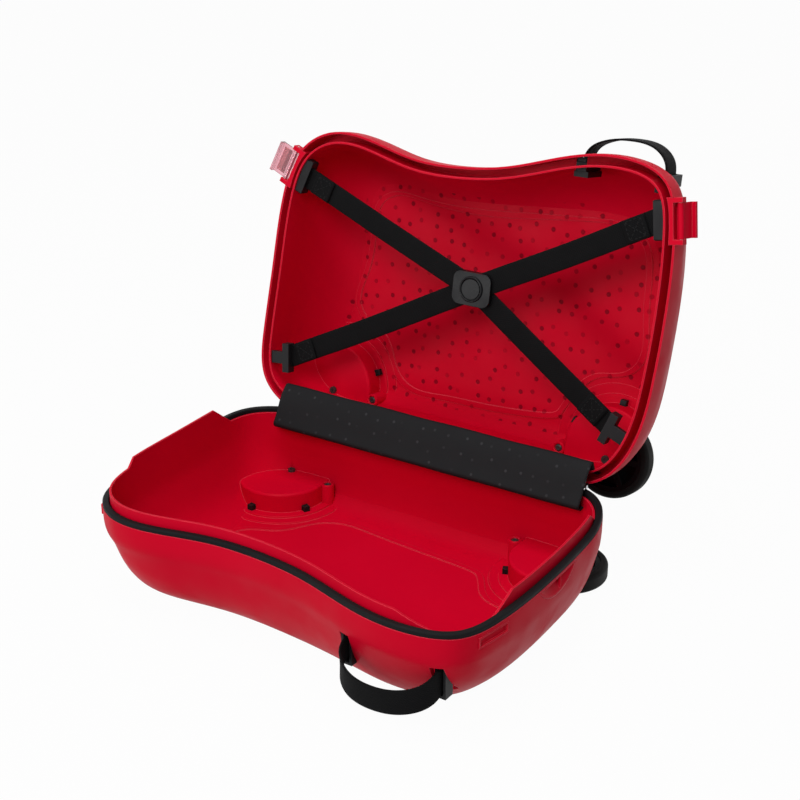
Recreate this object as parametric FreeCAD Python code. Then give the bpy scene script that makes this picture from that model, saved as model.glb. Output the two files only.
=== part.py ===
import FreeCAD, Part
import math
import os

os.makedirs("parts", exist_ok=True)
Vec = FreeCAD.Vector

# Frame: X along the case, minus Y to the saddle, Z up from the floor that the base lies on.
# Outline points are (u, v): u along the case, v up from the hinge wall, as the closed case stands.

# Overall body
LENGTH = 498.0
HEIGHT = 343.0
HINGE_WALL_Y = 175.0
BASE_DEPTH = 101.0
LID_DEPTH = 104.0
WALL = 2.5
OVERRUN = 20.0
FIT_GAP = 0.15
RUN_GAP = 0.3

# Rim outline round the case, from the hinge wall up the right end and back along the saddle
RIM_SHARES = [
    (-0.295, 0), (-0.15, 0), (0, 0), (0.15, 0), (0.28, 0), (0.40, 0.035), (0.466, 0.165), (0.492, 0.365),
    (0.50, 0.60), (0.494, 0.815), (0.462, 0.95), (0.372, 1), (0.24, 0.98), (0.115, 0.928), (-0.01, 0.903),
    (-0.132, 0.91), (-0.253, 0.95), (-0.352, 0.948), (-0.426, 0.878), (-0.468, 0.718), (-0.484, 0.485),
    (-0.498, 0.25), (-0.484, 0.09), (-0.422, 0.017),
]
# Outline of the flat side face, point for point with the rim
FACE_SHARES = [
    (-0.293, 0.035), (-0.15, 0.035), (0, 0.035), (0.15, 0.035), (0.278, 0.035), (0.358, 0.065), (0.39, 0.185),
    (0.40, 0.373), (0.40, 0.583), (0.378, 0.723), (0.343, 0.781), (0.297, 0.802), (0.225, 0.805),
    (0.12, 0.793), (0, 0.778), (-0.125, 0.77), (-0.23, 0.781), (-0.30, 0.787), (-0.345, 0.758),
    (-0.365, 0.665), (-0.38, 0.466), (-0.398, 0.268), (-0.40, 0.14), (-0.37, 0.06),
]
# Inward step under the rim band, deepest at the left end
BAND_STEP = 7.0
STEP_SHARES = [
    0.3, 0.3, 0.3, 0.3, 0.3, 0.3, 0.25, 0.25, 0.25, 0.3, 0.35, 0.4, 0.4, 0.4, 0.4,
    0.45, 0.5, 0.65, 0.85, 1, 1, 1, 0.8, 0.5,
]
# Wall profile from rim to side face: depth, taper towards the face outline, step
PROFILE_SHARES = [
    (0, 0, 0), (0.12, 0, 0), (0.25, 0.005, 0.08), (0.33, 0.03, 1), (0.48, 0.12, 0.8), (0.63, 0.25, 0.4),
    (0.77, 0.415, 0.1), (0.88, 0.59, 0), (0.96, 0.79, 0), (1, 1, 0),
]
BODY_START = 4
INNER_TOP_SHARE = 0.3

# Rim: groove between the outer band and the inner lip, and the lip that stands up on the base
GROOVE_DEPTH = 24.0
BASE_LIP_OUT = 8.0
LIP_THICK = 2.2
LID_LIP_OUT = 10.8
FRONT_LIP = 15.0
LEFT_PANEL = 24.0
RIGHT_PANEL = 17.0
LEFT_PANEL_SHARES = [(0.19, 0), (0.28, 1), (0.70, 1), (0.78, 0)]
RIGHT_PANEL_SHARES = [(0.17, 0), (0.24, 1), (0.73, 1), (0.82, 0)]
FRONT_LIP_SHARES = [(-0.5, 0), (-0.5, 1), (0.34, 1), (0.43, 0)]
FRONT_LIP_START = 0.66
PANEL_SPAN_SHARE = 0.3

# Gasket in the mouth of the base groove
GASKET_HEIGHT = 5.0
GASKET_IN = 0.3
GASKET_OUT = 7.4
GASKET_ROUND = 1.8
TONGUE_DEPTH = 6.0
TONGUE_GAP = 0.3

# Hinge along the wall that the case stands on
HINGE_V = 3.4
HINGE_UP = 4.5
HINGE_LEFT_SHARE = -0.41
HINGE_RIGHT_SHARE = 0.3775
HINGE_LEFT = LENGTH * HINGE_LEFT_SHARE
HINGE_RIGHT = LENGTH * HINGE_RIGHT_SHARE
HINGE_NOTCH = 7.0
NOTCH_DEEP = 7.6
KNUCKLE_R = 4.4
KNUCKLE_ROOT = 19.0
ROOT_IN = 0.6
KNUCKLE_LONG = 24.0
KNUCKLE_GAP = 0.4
HINGE_STATIONS = 5
PIN_R = 2.0
PIN_FIT = 0.05
OPEN_ANGLE = 99.0

# Wheels, one in each bottom corner of each half
LEFT_WHEEL_SHARE = -0.3876
RIGHT_WHEEL_SHARE = 0.3434
WHEEL_V = 14.0
WHEEL_R = 46.0
WHEEL_FACE = 3.0
WHEEL_WIDE = 18.0
TYRE_THICK = 8.0
TYRE_ROUND = 4.0
TYRE_BEAD = 1.0
RIM_RING = 5.0
WEB_THICK = 5.0
HUB_R = 16.0
SPOKE_WIDE = 6.0
SPOKE_COUNT = 6
AXLE_R = 4.0
AXLE_FIT = 0.08
AXLE_HEAD_R = 7.0
AXLE_HEAD = 2.0
CAP_R = 13.0
CAP_THICK = 1.2
HUB_RECESS = 3.6

# Wheel wells moulded into the shells, and the brackets clipped into them
BASE_WELL_V = 30.0
LID_WELL_V = 21.0
WELL_R = 49.0
WELL_ROOF = 27.0
WELL_ROUND = 3.0
FLANGE_WIDE = 10.0
FLANGE_TALL = 6.8
FLANGE_ROUND = 1.6
STEP_WIDE = 21.0
STEP_TALL = 4.4
STEP_ROUND = 1.2
BRACKET_PLATE = 3.0
SKIRT_THICK = 1.6
SKIRT_START = 6.0
BOSS_R = 9.0
SNAP_WIDE = 7.0
SNAP_TALL = 6.0
SNAP_START = 7.0
SNAP_REACH = 8.5
SNAP_GAP = 0.4
SNAP_ANGLES = (5.0, -66.0)
SCREW_R = 4.2
SCREW_HEAD = 2.6
SCREW_SLOT = 1.2
SCREW_SHANK = 1.6
AXLE_TAP = 6.0

# Carry straps, one on each half
WEB_WIDE = 25.0
WEB_THICK_STRAP = 2.2
BASE_SLOT_SHARES = (0.225, 0.426)
LID_SLOT_SHARES = (0.253, 0.434)
BASE_SLOT_Z = 52.0
LID_SLOT_DEEP = 41.0
SLOT_WIDE = 6.4
SLOT_SPARE = 2.0
GROMMET_WALL = 2.6
GROMMET_LONG = 12.0
GROMMET_PROUD = 2.0
STRAP_TAIL = 8.0
BASE_LOOP_OUT = 29.0
BASE_LOOP_DROP = 18.0
LID_LOOP_OUT = 25.0
LOOP_STEPS = 28
BASE_LOOP_SHARES = [(0, 0), (0.02, 0.30), (0.16, 0.78), (0.48, 1), (0.80, 0.80), (0.97, 0.32), (1, 0)]
LID_LOOP_SHARES = [(0, 0), (0.03, 0.28), (0.20, 0.74), (0.56, 1), (0.85, 0.84), (0.98, 0.36), (1, 0)]
ANCHOR_THICK = 6.0
ANCHOR_WIDE = 16.0
ANCHOR_TALL = 32.0
ANCHOR_OFF = 0.2

# Crossed packing straps in the lid
CROSS_WIDE = 25.0
CROSS_THICK = 1.8
CROSS_DEEP = 7.0
BUCKLE_ALONG_SHARE = 0.0482
BUCKLE_UP_SHARE = 0.5335
BUCKLE_U = LENGTH * BUCKLE_ALONG_SHARE
BUCKLE_V = HEIGHT * BUCKLE_UP_SHARE
BUCKLE_LONG = 46.0
BUCKLE_TALL = 36.0
BUCKLE_THICK = 10.0
BUCKLE_FRONT = 3.0
BUCKLE_CORNER = 9.0
BUTTON_R = 11.0
BUTTON_PROUD = 1.5
BUTTON_LONG = 4.5
BUTTON_TRAVEL = 1.2
LEG_START = 14.0
POCKET_GAP = 0.25
LEG_INTO = 5.0
TOP_ANCHOR_LEFT_SHARE = 0.815
TOP_ANCHOR_RIGHT_SHARE = 0.845
HOOK_LEFT_SHARE = 0.165
HOOK_RIGHT_SHARE = 0.165
ANCHOR_LONG = 40.0
ANCHOR_DEEP = 11.0
ANCHOR_HIGH = 12.0
ANCHOR_START = 2.0
HOOK_TONGUE = 14.0
HOOK_TONGUE_LONG = 16.0
HOOK_BAR_LONG = 34.0
HOOK_BAR_DEEP = 9.0
HOOK_HIGH = 11.0

# Latches on the lid rim at both ends, their keeper slots in the base and the tag cards
LATCH_LEFT_SHARE = 0.822
LATCH_RIGHT_SHARE = 0.842
LATCH_LONG = 46.0
BLOCK_IN = 7.0
BLOCK_OUT = 7.4
BLOCK_HIGH = 9.4
EAR_LONG = 5.0
LATCH_PIVOT_OUT = 4.0
LATCH_PIVOT_DEEP = 4.6
LATCH_PIN_R = 1.4
BARREL_R = 3.0
LEVER_LONG = 21.0
LEVER_THICK = 2.6
LEVER_TIP = 3.0
LEVER_TIP_IN = 4.6
CARD_LONG = 28.0
CARD_WIDE = 11.0
CARD_THICK = 0.6
CARD_POCKET = 0.9
CARD_GAP = 0.3
CARD_START = 5.0
KEEPER_TALL = 6.4
KEEPER_THICK = 1.6
KEEPER_GAP = 0.6
LEFT_LATCH_OPEN = 90.0
RIGHT_LATCH_OPEN = 172.0

# Tow eye in a scoop at the right end of the base
EYE_SHARE = 0.504
EYE_TOP = 1.4
EYE_R = 120.0
EYE_OUT = 110.0
EYE_UP = 30.0
EYE_SKIN = 1.2
EYE_BAR_R = 1.5

# Flexible cover over the hinge and its two rails; the path runs from the hinge line, (v, z), in reaches
COVER_LEFT_SHARE = -0.4076
COVER_RIGHT_SHARE = 0.3876
COVER_THICK = 1.4
COVER_REACH = 50.0
COVER_SHARES = [
    (0.01, 0.48), (0.08, 0.596), (0.16, 0.55), (0.60, -0.14), (0.64, -0.23), (0.58, -0.30), (0.42, -0.31),
    (0.31, -0.34),
]
COVER_SEAT_SHARES = (1, 0.75, 0.5)
COVER_STEPS = 48
RAIL_LEFT_SHARE = -0.2932
RAIL_RIGHT_SHARE = 0.2771
RAIL_START = 8.0
RAIL_WIDE = 9.0
RAIL_THICK = 2.0

# Cove between the hinge wall and the side face, from well to well
COVE_R = 26.0
COVE_LEFT_SHARE = -0.30
COVE_RIGHT_SHARE = 0.26
COVE_FOOT_SHARE = 0.035
COVE_RISE_SHARE = 0.5

# Raised bead round the middle of each side face, drawn clear of the wheel wells
BEAD_WIDE = 7.0
BEAD_TALL = 1.3
LID_BEAD_SHARES = [
    (0.2, 0.127), (0.216, 0.17), (0.236, 0.215), (0.281, 0.275), (0.345, 0.3), (0.374, 0.335),
    (0.378, 0.51), (0.374, 0.627), (0.353, 0.729), (0.301, 0.772), (0.22, 0.775), (0.12, 0.764),
    (0, 0.749), (-0.125, 0.741), (-0.23, 0.752), (-0.301, 0.752), (-0.337, 0.717), (-0.35, 0.627),
    (-0.362, 0.466), (-0.376, 0.34), (-0.352, 0.296), (-0.308, 0.262), (-0.274, 0.2), (-0.256, 0.14),
    (-0.22, 0.09), (-0.12, 0.076), (0, 0.08), (0.11, 0.092), (0.17, 0.105),
]
BASE_BEAD_SHARES = [
    (0.2, 0.185), (0.222, 0.225), (0.243, 0.27), (0.285, 0.315), (0.345, 0.336), (0.374, 0.375),
    (0.378, 0.51), (0.374, 0.627), (0.353, 0.729), (0.301, 0.772), (0.22, 0.775), (0.12, 0.764),
    (0, 0.749), (-0.125, 0.741), (-0.23, 0.752), (-0.301, 0.752), (-0.337, 0.717), (-0.35, 0.627),
    (-0.362, 0.466), (-0.376, 0.375), (-0.352, 0.335), (-0.31, 0.305), (-0.276, 0.25), (-0.25, 0.185),
    (-0.21, 0.14), (-0.12, 0.132), (0, 0.146), (0.11, 0.159), (0.168, 0.168),
]


class Half:
    """One half of the case: where its rim lies and which way its depth runs."""

    def __init__(self, rim_z, depth, into, lip_out, well_v, bead_shares):
        self.rim_z = rim_z
        self.depth = depth
        self.into = into
        self.lip_out = lip_out
        self.lip_in = lip_out + LIP_THICK
        self.well_v = well_v
        self.bead_shares = bead_shares

    def at(self, deep):
        return self.rim_z + self.into * deep

    def off_face(self, distance):
        return self.rim_z + self.into * (self.depth - distance)


BASE = Half(BASE_DEPTH, BASE_DEPTH, -1, BASE_LIP_OUT, BASE_WELL_V, BASE_BEAD_SHARES)
LID = Half(BASE_DEPTH + GASKET_HEIGHT + RUN_GAP, LID_DEPTH, 1, LID_LIP_OUT, LID_WELL_V, LID_BEAD_SHARES)
HINGE_Z = BASE.rim_z + HINGE_UP
AXLE_AT = Vec(0, HINGE_WALL_Y - HINGE_V, HINGE_Z)


def place(u, v, z):
    return Vec(u, HINGE_WALL_Y - v, z)


def sized(shares):
    return [(LENGTH * a, HEIGHT * b) for a, b in shares]


def chord_parameters():
    """Curve parameters shared by every section, from the spacing of the rim points."""
    points = sized(RIM_SHARES)
    marks = [0.0]
    for (a, b), (c, d) in zip(points, points[1:] + points[:1]):
        marks.append(marks[-1] + math.hypot(c - a, d - b))
    return marks


CHORDS = chord_parameters()


def closed_curve(points, z):
    curve = Part.BSplineCurve()
    curve.interpolate(Points=[place(u, v, z) for u, v in points], PeriodicFlag=True, Parameters=CHORDS)
    return curve


def inward_normals(points):
    curve = closed_curve(points, 0)
    normals = []
    for u, v in points:
        tangent = curve.tangent(curve.parameter(place(u, v, 0)))[0]
        normals.append((tangent.y, tangent.x))
    return normals


def inset(points, distances):
    moved = []
    for (u, v), (a, b), d in zip(points, inward_normals(points), distances):
        moved.append((u + a * d, v + b * d))
    return moved


def rim_inset(distance):
    rim = sized(RIM_SHARES)
    return inset(rim, [distance] * len(rim))


def section(taper, step):
    blend = []
    for (a, b), (c, d) in zip(sized(RIM_SHARES), sized(FACE_SHARES)):
        blend.append((a + (c - a) * taper, b + (d - b) * taper))
    return inset(blend, [BAND_STEP * share * step for share in STEP_SHARES])


def ring_wire(points, z):
    return Part.Wire(closed_curve(points, z).toShape())


def prism(points, z_from, z_to):
    return Part.Face(ring_wire(points, z_from)).extrude(Vec(0, 0, z_to - z_from))


def ring(outside, inside, z_from, z_to):
    return prism(rim_inset(outside), z_from, z_to).cut(prism(rim_inset(inside), z_from, z_to))


def block(u_from, u_to, v_from, v_to, z_from, z_to):
    low = place(u_from, v_to, min(z_from, z_to))
    return Part.makeBox(u_to - u_from, v_to - v_from, abs(z_to - z_from), low)


def rod(radius, start, end):
    along = end - start
    return Part.makeCylinder(radius, along.Length, start, along)


def upright(radius, u, v, z_from, z_to):
    return rod(radius, place(u, v, z_from), place(u, v, z_to))


def polygon(points):
    return Part.Face(Part.makePolygon(points + points[:1]))


def skin(sections):
    """A closed solid whose wall is one smooth surface steered by (points, z) sections."""
    curves = [closed_curve(points, z) for points, z in sections]
    rows = len(curves)
    poles = [list(column) for column in zip(*[curve.getPoles() for curve in curves])]
    surface = Part.BSplineSurface()
    surface.buildFromPolesMultsKnots(
        poles, curves[0].getMultiplicities(), [4] + [1] * (rows - 4) + [4], curves[0].getKnots(),
        list(range(rows - 2)), True, False, 3, 3)
    ends = [Part.Face(Part.Wire(curve.toShape())) for curve in (curves[0], curves[-1])]
    shell = Part.makeShell([surface.toShape()] + ends)
    shell.sewShape()
    solid = Part.makeSolid(Part.Shell(shell.Faces))
    if solid.Volume < 0:
        solid.reverse()
    return solid


def outer_body(half):
    return skin([(section(taper, step), half.at(share * half.depth))
                 for share, taper, step in PROFILE_SHARES])


def inner_body(half):
    """The packing space: straight behind the lip, then one wall inside the outer body."""
    lip = rim_inset(half.lip_in)
    sections = [(lip, half.at(deep)) for deep in (-OVERRUN, 0, INNER_TOP_SHARE * half.depth / 2)]
    sections.append((lip, half.at(INNER_TOP_SHARE * half.depth)))
    for share, taper, step in PROFILE_SHARES[BODY_START:]:
        points = section(taper, step)
        sections.append((inset(points, [WALL] * len(points)), half.at(share * (half.depth - WALL))))
    return skin(sections)


def wheel_u(side):
    return LENGTH * (LEFT_WHEEL_SHARE if side < 0 else RIGHT_WHEEL_SHARE)


def arch(half, side, radius, z_from, z_to):
    """Wheel well outline: a round top with straight sides that run out through the hinge wall."""
    u = wheel_u(side)
    top = upright(radius, u, half.well_v, z_from, z_to)
    return top.fuse(block(u - radius, u + radius, -2 * OVERRUN, half.well_v, z_from, z_to))


def rounded_arch(half, side, radius, tall, fillet):
    """A solid arch that stands on the side face, with its upper edge rounded."""
    top = half.off_face(tall)
    solid = arch(half, side, radius, half.off_face(0), top).removeSplitter()
    edges = [e for e in solid.Edges
             if max(abs(e.BoundBox.ZMin - top), abs(e.BoundBox.ZMax - top)) < FIT_GAP]
    return solid.makeFillet(fillet, edges)


def snap_block(half, side, angle, reach_from, reach_to, gap):
    """A snap hook, or with a gap its hole, pointing out from the arch at one angle."""
    wide = SNAP_WIDE + 2 * gap
    start = half.off_face(SNAP_START - gap)
    end = half.off_face(SNAP_START + SNAP_TALL + gap)
    hook = block(-wide / 2, wide / 2, reach_from, reach_to, start, end)
    hook.translate(Vec(wheel_u(side), -half.well_v, 0))
    hook.rotate(place(wheel_u(side), half.well_v, 0), Vec(0, 0, 1), side * angle)
    return hook


def well_walls(half, side, outer):
    """The drum of a well and the two low steps round its foot."""
    drum = rounded_arch(half, side, WELL_R + WALL, WELL_ROOF + WALL, WELL_ROUND)
    flange = rounded_arch(half, side, WELL_R + WALL + FLANGE_WIDE, FLANGE_TALL, FLANGE_ROUND)
    step = rounded_arch(half, side, WELL_R + WALL + STEP_WIDE, STEP_TALL, STEP_ROUND)
    return drum.fuse(flange).fuse(step).common(outer)


def hinge_cove(half, outer):
    """The hollow rounding that leads from the hinge wall into the side face."""
    foot = HEIGHT * COVE_FOOT_SHARE * COVE_RISE_SHARE + COVE_R
    left, right = LENGTH * COVE_LEFT_SHARE, LENGTH * COVE_RIGHT_SHARE
    crown = half.off_face(WALL + COVE_R)
    corner = block(left, right, 0, foot, half.off_face(0), crown)
    return corner.cut(rod(COVE_R, place(left, foot, crown), place(right, foot, crown))).common(outer)


def well_cuts(half, side):
    cut = arch(half, side, WELL_R, half.off_face(-OVERRUN), half.off_face(WELL_ROOF))
    cut = cut.fuse(upright(AXLE_R + RUN_GAP, wheel_u(side), WHEEL_V, half.off_face(0),
                           half.off_face(WELL_ROOF + OVERRUN)))
    cut = cut.fuse(upright(SCREW_R + RUN_GAP, wheel_u(side), WHEEL_V, half.off_face(WELL_ROOF + WALL),
                           half.off_face(WELL_ROOF + WALL + SCREW_HEAD + RUN_GAP)))
    for angle in SNAP_ANGLES:
        cut = cut.fuse(snap_block(half, side, angle, WELL_R - WALL, WELL_R + SNAP_REACH, SNAP_GAP))
    return cut


def knuckle_spans():
    """Left and right ends of each base knuckle pair and of the lid knuckle between them."""
    pitch = (HINGE_RIGHT - HINGE_LEFT) / HINGE_STATIONS
    spans = []
    for k in range(HINGE_STATIONS):
        middle = HINGE_LEFT + pitch * (k + 0.5)
        inner = KNUCKLE_LONG / 2
        spans.append((middle - inner * 2, middle - inner - KNUCKLE_GAP, "base"))
        spans.append((middle - inner, middle + inner, "lid"))
        spans.append((middle + inner + KNUCKLE_GAP, middle + inner * 2, "base"))
    return spans


def knuckles(owner, toward):
    solids = []
    for left, right, name in knuckle_spans():
        if name == owner:
            barrel = rod(KNUCKLE_R, Vec(left, AXLE_AT.y, HINGE_Z), Vec(right, AXLE_AT.y, HINGE_Z))
            root = block(left, right, ROOT_IN, HINGE_V + KNUCKLE_R, HINGE_Z, HINGE_Z + toward * KNUCKLE_ROOT)
            solids.append(barrel.fuse(root))
    joined = solids[0].multiFuse(solids[1:])
    bore = rod(PIN_R + PIN_FIT, Vec(HINGE_LEFT - OVERRUN, AXLE_AT.y, HINGE_Z),
               Vec(HINGE_RIGHT + OVERRUN, AXLE_AT.y, HINGE_Z))
    return joined.cut(bore)


def hinge_notch(half):
    return block(HINGE_LEFT, HINGE_RIGHT, -OVERRUN, NOTCH_DEEP, half.at(-OVERRUN), half.at(HINGE_NOTCH))


def half_shell(half, outer):
    """A moulded half: tapered walls, a rim groove, two wheel wells and a notch for the hinge."""
    shell = outer.cut(inner_body(half)).fuse(hinge_cove(half, outer))
    for side in (-1, 1):
        shell = shell.fuse(well_walls(half, side, outer))
    for side in (-1, 1):
        shell = shell.cut(well_cuts(half, side))
    shell = shell.cut(ring(WALL, half.lip_out, half.at(-OVERRUN), half.at(GROOVE_DEPTH)))
    return shell.cut(hinge_notch(half))


def end_window(shares, tall, u_from, u_to):
    points = [place(u_from, HEIGHT * a, BASE.at(0) + tall * b) for a, b in shares]
    return polygon(points).extrude(Vec(u_to - u_from, 0, 0))


def standing_lip():
    """The thin lip that stands inside the gasket: along the saddle and as a panel at each end."""
    tall = ring(BASE.lip_out, BASE.lip_in, BASE.at(0), BASE.at(-LEFT_PANEL))
    left = end_window(LEFT_PANEL_SHARES, LEFT_PANEL, -LENGTH, -LENGTH * PANEL_SPAN_SHARE)
    right = end_window(RIGHT_PANEL_SHARES, RIGHT_PANEL, LENGTH * PANEL_SPAN_SHARE, LENGTH)
    points = [place(LENGTH * a, HEIGHT, BASE.at(0) + FRONT_LIP * b) for a, b in FRONT_LIP_SHARES]
    front = polygon(points).extrude(Vec(0, HEIGHT * (1 - FRONT_LIP_START), 0))
    return tall.common(left.fuse(right).fuse(front))


def rim_spot(end, share):
    """A point on the rim at one end, at a share of the height, with its outward direction."""
    curve = closed_curve(sized(RIM_SHARES), 0)
    level = Part.makeLine(place(0, HEIGHT * share, 0), place(end * LENGTH, HEIGHT * share, 0))
    hit = curve.toShape().distToShape(level)[1][0][0]
    tangent = curve.tangent(curve.parameter(hit))[0]
    return hit, Vec(-tangent.y, tangent.x, 0)


def at_rim(shape, end, share, half):
    """Moves a shape drawn with X outward, Y along the rim and Z into the lid to a spot on the rim."""
    hit, out = rim_spot(end, share)
    up = Vec(0, 0, 1)
    turn = FreeCAD.Rotation(out, up.cross(out), up, "XYZ")
    moved = shape.copy()
    moved.Placement = FreeCAD.Placement(Vec(hit.x, hit.y, half.at(0)), turn).multiply(shape.Placement)
    return moved


def local_box(out_from, out_to, along_from, along_to, deep_from, deep_to):
    return Part.makeBox(out_to - out_from, along_to - along_from, deep_to - deep_from,
                        Vec(out_from, along_from, deep_from))


def pivot_rod(radius, along_from, along_to):
    return rod(radius, Vec(LATCH_PIVOT_OUT, along_from, LATCH_PIVOT_DEEP),
               Vec(LATCH_PIVOT_OUT, along_to, LATCH_PIVOT_DEEP))


def latch_notch():
    half_long = LATCH_LONG / 2 + FIT_GAP
    return local_box(-BLOCK_IN - FIT_GAP, OVERRUN, -half_long, half_long, -OVERRUN, BLOCK_HIGH + FIT_GAP)


def latch_block(end, share):
    """The bracket in the rim groove, with two ears outside the wall that carry the lever's pin."""
    half_long = LATCH_LONG / 2
    body = local_box(-BLOCK_IN, BLOCK_OUT, -half_long, half_long, RUN_GAP, BLOCK_HIGH)
    throat = local_box(-WALL, BLOCK_OUT + OVERRUN, -half_long + EAR_LONG, half_long - EAR_LONG,
                       -OVERRUN, BLOCK_HIGH + OVERRUN)
    body = body.cut(throat).cut(pivot_rod(LATCH_PIN_R + PIN_FIT, -LATCH_LONG, LATCH_LONG))
    foot = ring(WALL + FIT_GAP, BLOCK_IN, LID.at(RUN_GAP), LID.at(GROOVE_DEPTH - FIT_GAP))
    reach = local_box(-BLOCK_IN - OVERRUN, 0, -half_long, half_long, 0, GROOVE_DEPTH)
    return at_rim(body, end, share, LID).fuse(foot.common(at_rim(reach, end, share, LID)))


def latch_pin():
    half_long = LATCH_LONG / 2 - FIT_GAP
    return pivot_rod(LATCH_PIN_R, -half_long, half_long)


def latch_lever():
    """The lever as it lies shut over the base wall, with a hooked tip and a pocket for the tag card."""
    half_long = LATCH_LONG / 2 - EAR_LONG - RUN_GAP
    plate_in = LATCH_PIVOT_OUT - LEVER_THICK / 2
    plate_out = LATCH_PIVOT_OUT + LEVER_THICK / 2
    end = LATCH_PIVOT_DEEP - LEVER_LONG
    lever = pivot_rod(BARREL_R, -half_long, half_long)
    lever = lever.fuse(local_box(plate_in, plate_out, -half_long, half_long, end, LATCH_PIVOT_DEEP))
    tip = local_box(plate_in - LEVER_TIP_IN, plate_out, -half_long, half_long, end, end + LEVER_TIP)
    card_end = LATCH_PIVOT_DEEP - CARD_START
    half_card = CARD_LONG / 2 + CARD_GAP
    pocket = local_box(plate_out - CARD_POCKET, plate_out + OVERRUN, -half_card, half_card,
                       card_end - CARD_WIDE - CARD_GAP, card_end + CARD_GAP)
    lever = lever.fuse(tip).cut(pocket)
    return lever.cut(pivot_rod(LATCH_PIN_R + PIN_FIT, -LATCH_LONG, LATCH_LONG))


def tag_card():
    floor = LATCH_PIVOT_OUT + LEVER_THICK / 2 - CARD_POCKET + FIT_GAP
    card_end = LATCH_PIVOT_DEEP - CARD_START
    return local_box(floor, floor + CARD_THICK, -CARD_LONG / 2, CARD_LONG / 2, card_end - CARD_WIDE, card_end)


def keeper_box(gap, thick_from, thick_to):
    half_long = LATCH_LONG / 2 - EAR_LONG + gap
    tip = LATCH_PIVOT_DEEP - LEVER_LONG + LEVER_TIP / 2
    return local_box(thick_from, thick_to, -half_long, half_long, tip - KEEPER_TALL / 2 - gap,
                     tip + KEEPER_TALL / 2 + gap)


def keeper():
    """The cup set into the base wall that the lever's tip hooks into."""
    tip_gap = KEEPER_GAP + KEEPER_THICK
    frame = keeper_box(tip_gap, -WALL - KEEPER_THICK, -RUN_GAP)
    return frame.cut(keeper_box(KEEPER_GAP, -WALL, OVERRUN))


def swung(shape, angle):
    moved = shape.copy()
    moved.rotate(Vec(LATCH_PIVOT_OUT, 0, LATCH_PIVOT_DEEP), Vec(0, 1, 0), -angle)
    return moved


def opened(shape):
    moved = shape.copy()
    moved.rotate(AXLE_AT, Vec(1, 0, 0), -OPEN_ANGLE)
    return moved


def front_wall(outer, u, z):
    """How far up the saddle side the outer wall stands at one place along the case."""
    line = Part.makeLine(place(u, HEIGHT * 2, z), place(u, HEIGHT / 2, z))
    return HINGE_WALL_Y - outer.common(line).BoundBox.YMin


def slot_box(u, v, z, grow, deep_from, deep_to):
    half_u = SLOT_WIDE / 2 + grow
    half_z = WEB_WIDE / 2 + SLOT_SPARE + grow
    return block(u - half_u, u + half_u, v + deep_from, v + deep_to, z - half_z, z + half_z)


def grommet(u, v, z):
    inside = GROMMET_PROUD - GROMMET_LONG
    ring_solid = slot_box(u, v, z, GROMMET_WALL, inside, GROMMET_PROUD)
    return ring_solid.cut(slot_box(u, v, z, 0, -OVERRUN, OVERRUN))


def strap_anchor(u, v, z):
    """The block on the inside that the webbing's end is sewn into."""
    back = v + GROMMET_PROUD - GROMMET_LONG - ANCHOR_OFF
    solid = block(u - ANCHOR_WIDE / 2, u + ANCHOR_WIDE / 2, back - ANCHOR_THICK, back,
                  z - ANCHOR_TALL / 2, z + ANCHOR_TALL / 2)
    half_u, half_z = WEB_THICK_STRAP / 2 + RUN_GAP, WEB_WIDE / 2 + RUN_GAP
    return solid.cut(block(u - half_u, u + half_u, v - OVERRUN * 2, v, z - half_z, z + half_z))


def strap_loop(ends, shares, out, drop, z):
    """A webbing loop as a loft of upright sections: out from one slot, round and back into the other."""
    (u_a, v_a), (u_b, v_b) = ends
    tail = GROMMET_LONG - GROMMET_PROUD + STRAP_TAIL / 2
    path = [(u_a, v_a - tail, z), (u_a, v_a - tail / 2, z)]
    for along, reach in shares:
        u = u_a + (u_b - u_a) * along
        v = v_a + (v_b - v_a) * along + GROMMET_PROUD * 2 + out * reach
        path.append((u, v, z - drop * reach))
    path += [(u_b, v_b - tail / 2, z), (u_b, v_b - tail, z)]
    curve = Part.BSplineCurve()
    curve.interpolate(Points=[place(u, v, level) for u, v, level in path])
    wires = []
    for k in range(LOOP_STEPS + 1):
        t = curve.FirstParameter + (curve.LastParameter - curve.FirstParameter) * k / LOOP_STEPS
        spot, tangent = curve.value(t), curve.tangent(t)[0]
        side = Vec(-tangent.y, tangent.x, 0)
        side.normalize()
        side = side * (WEB_THICK_STRAP / 2)
        rise = Vec(0, 0, WEB_WIDE / 2)
        corners = [spot - side - rise, spot + side - rise, spot + side + rise, spot - side + rise]
        wires.append(Part.makePolygon(corners + corners[:1]))
    return Part.makeLoft(wires, True, True)


def leg_box(start, end, wide, deep_from, deep_to):
    """A straight band in the lid from one (u, v) to another."""
    along = Vec(end[0] - start[0], end[1] - start[1], 0)
    turn = math.degrees(math.atan2(-along.y, along.x))
    band = Part.makeBox(along.Length, wide, deep_to - deep_from, Vec(0, -wide / 2, 0))
    band.rotate(Vec(0, 0, 0), Vec(0, 0, 1), turn)
    band.translate(place(start[0], start[1], LID.at(deep_from)))
    return band


def lip_spot(end, share, inward):
    hit, out = rim_spot(end, share)
    spot = hit - out * (LID.lip_in + inward)
    return spot.x, HINGE_WALL_Y - spot.y


def leg_ends(end, share, inward):
    outer_end = lip_spot(end, share, inward)
    reach = Vec(outer_end[0] - BUCKLE_U, outer_end[1] - BUCKLE_V, 0)
    reach.normalize()
    return outer_end, (BUCKLE_U + reach.x * LEG_START, BUCKLE_V + reach.y * LEG_START)


def inside_lip():
    return prism(rim_inset(LID.lip_in + FIT_GAP), LID.at(0), LID.at(GROOVE_DEPTH))


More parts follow.
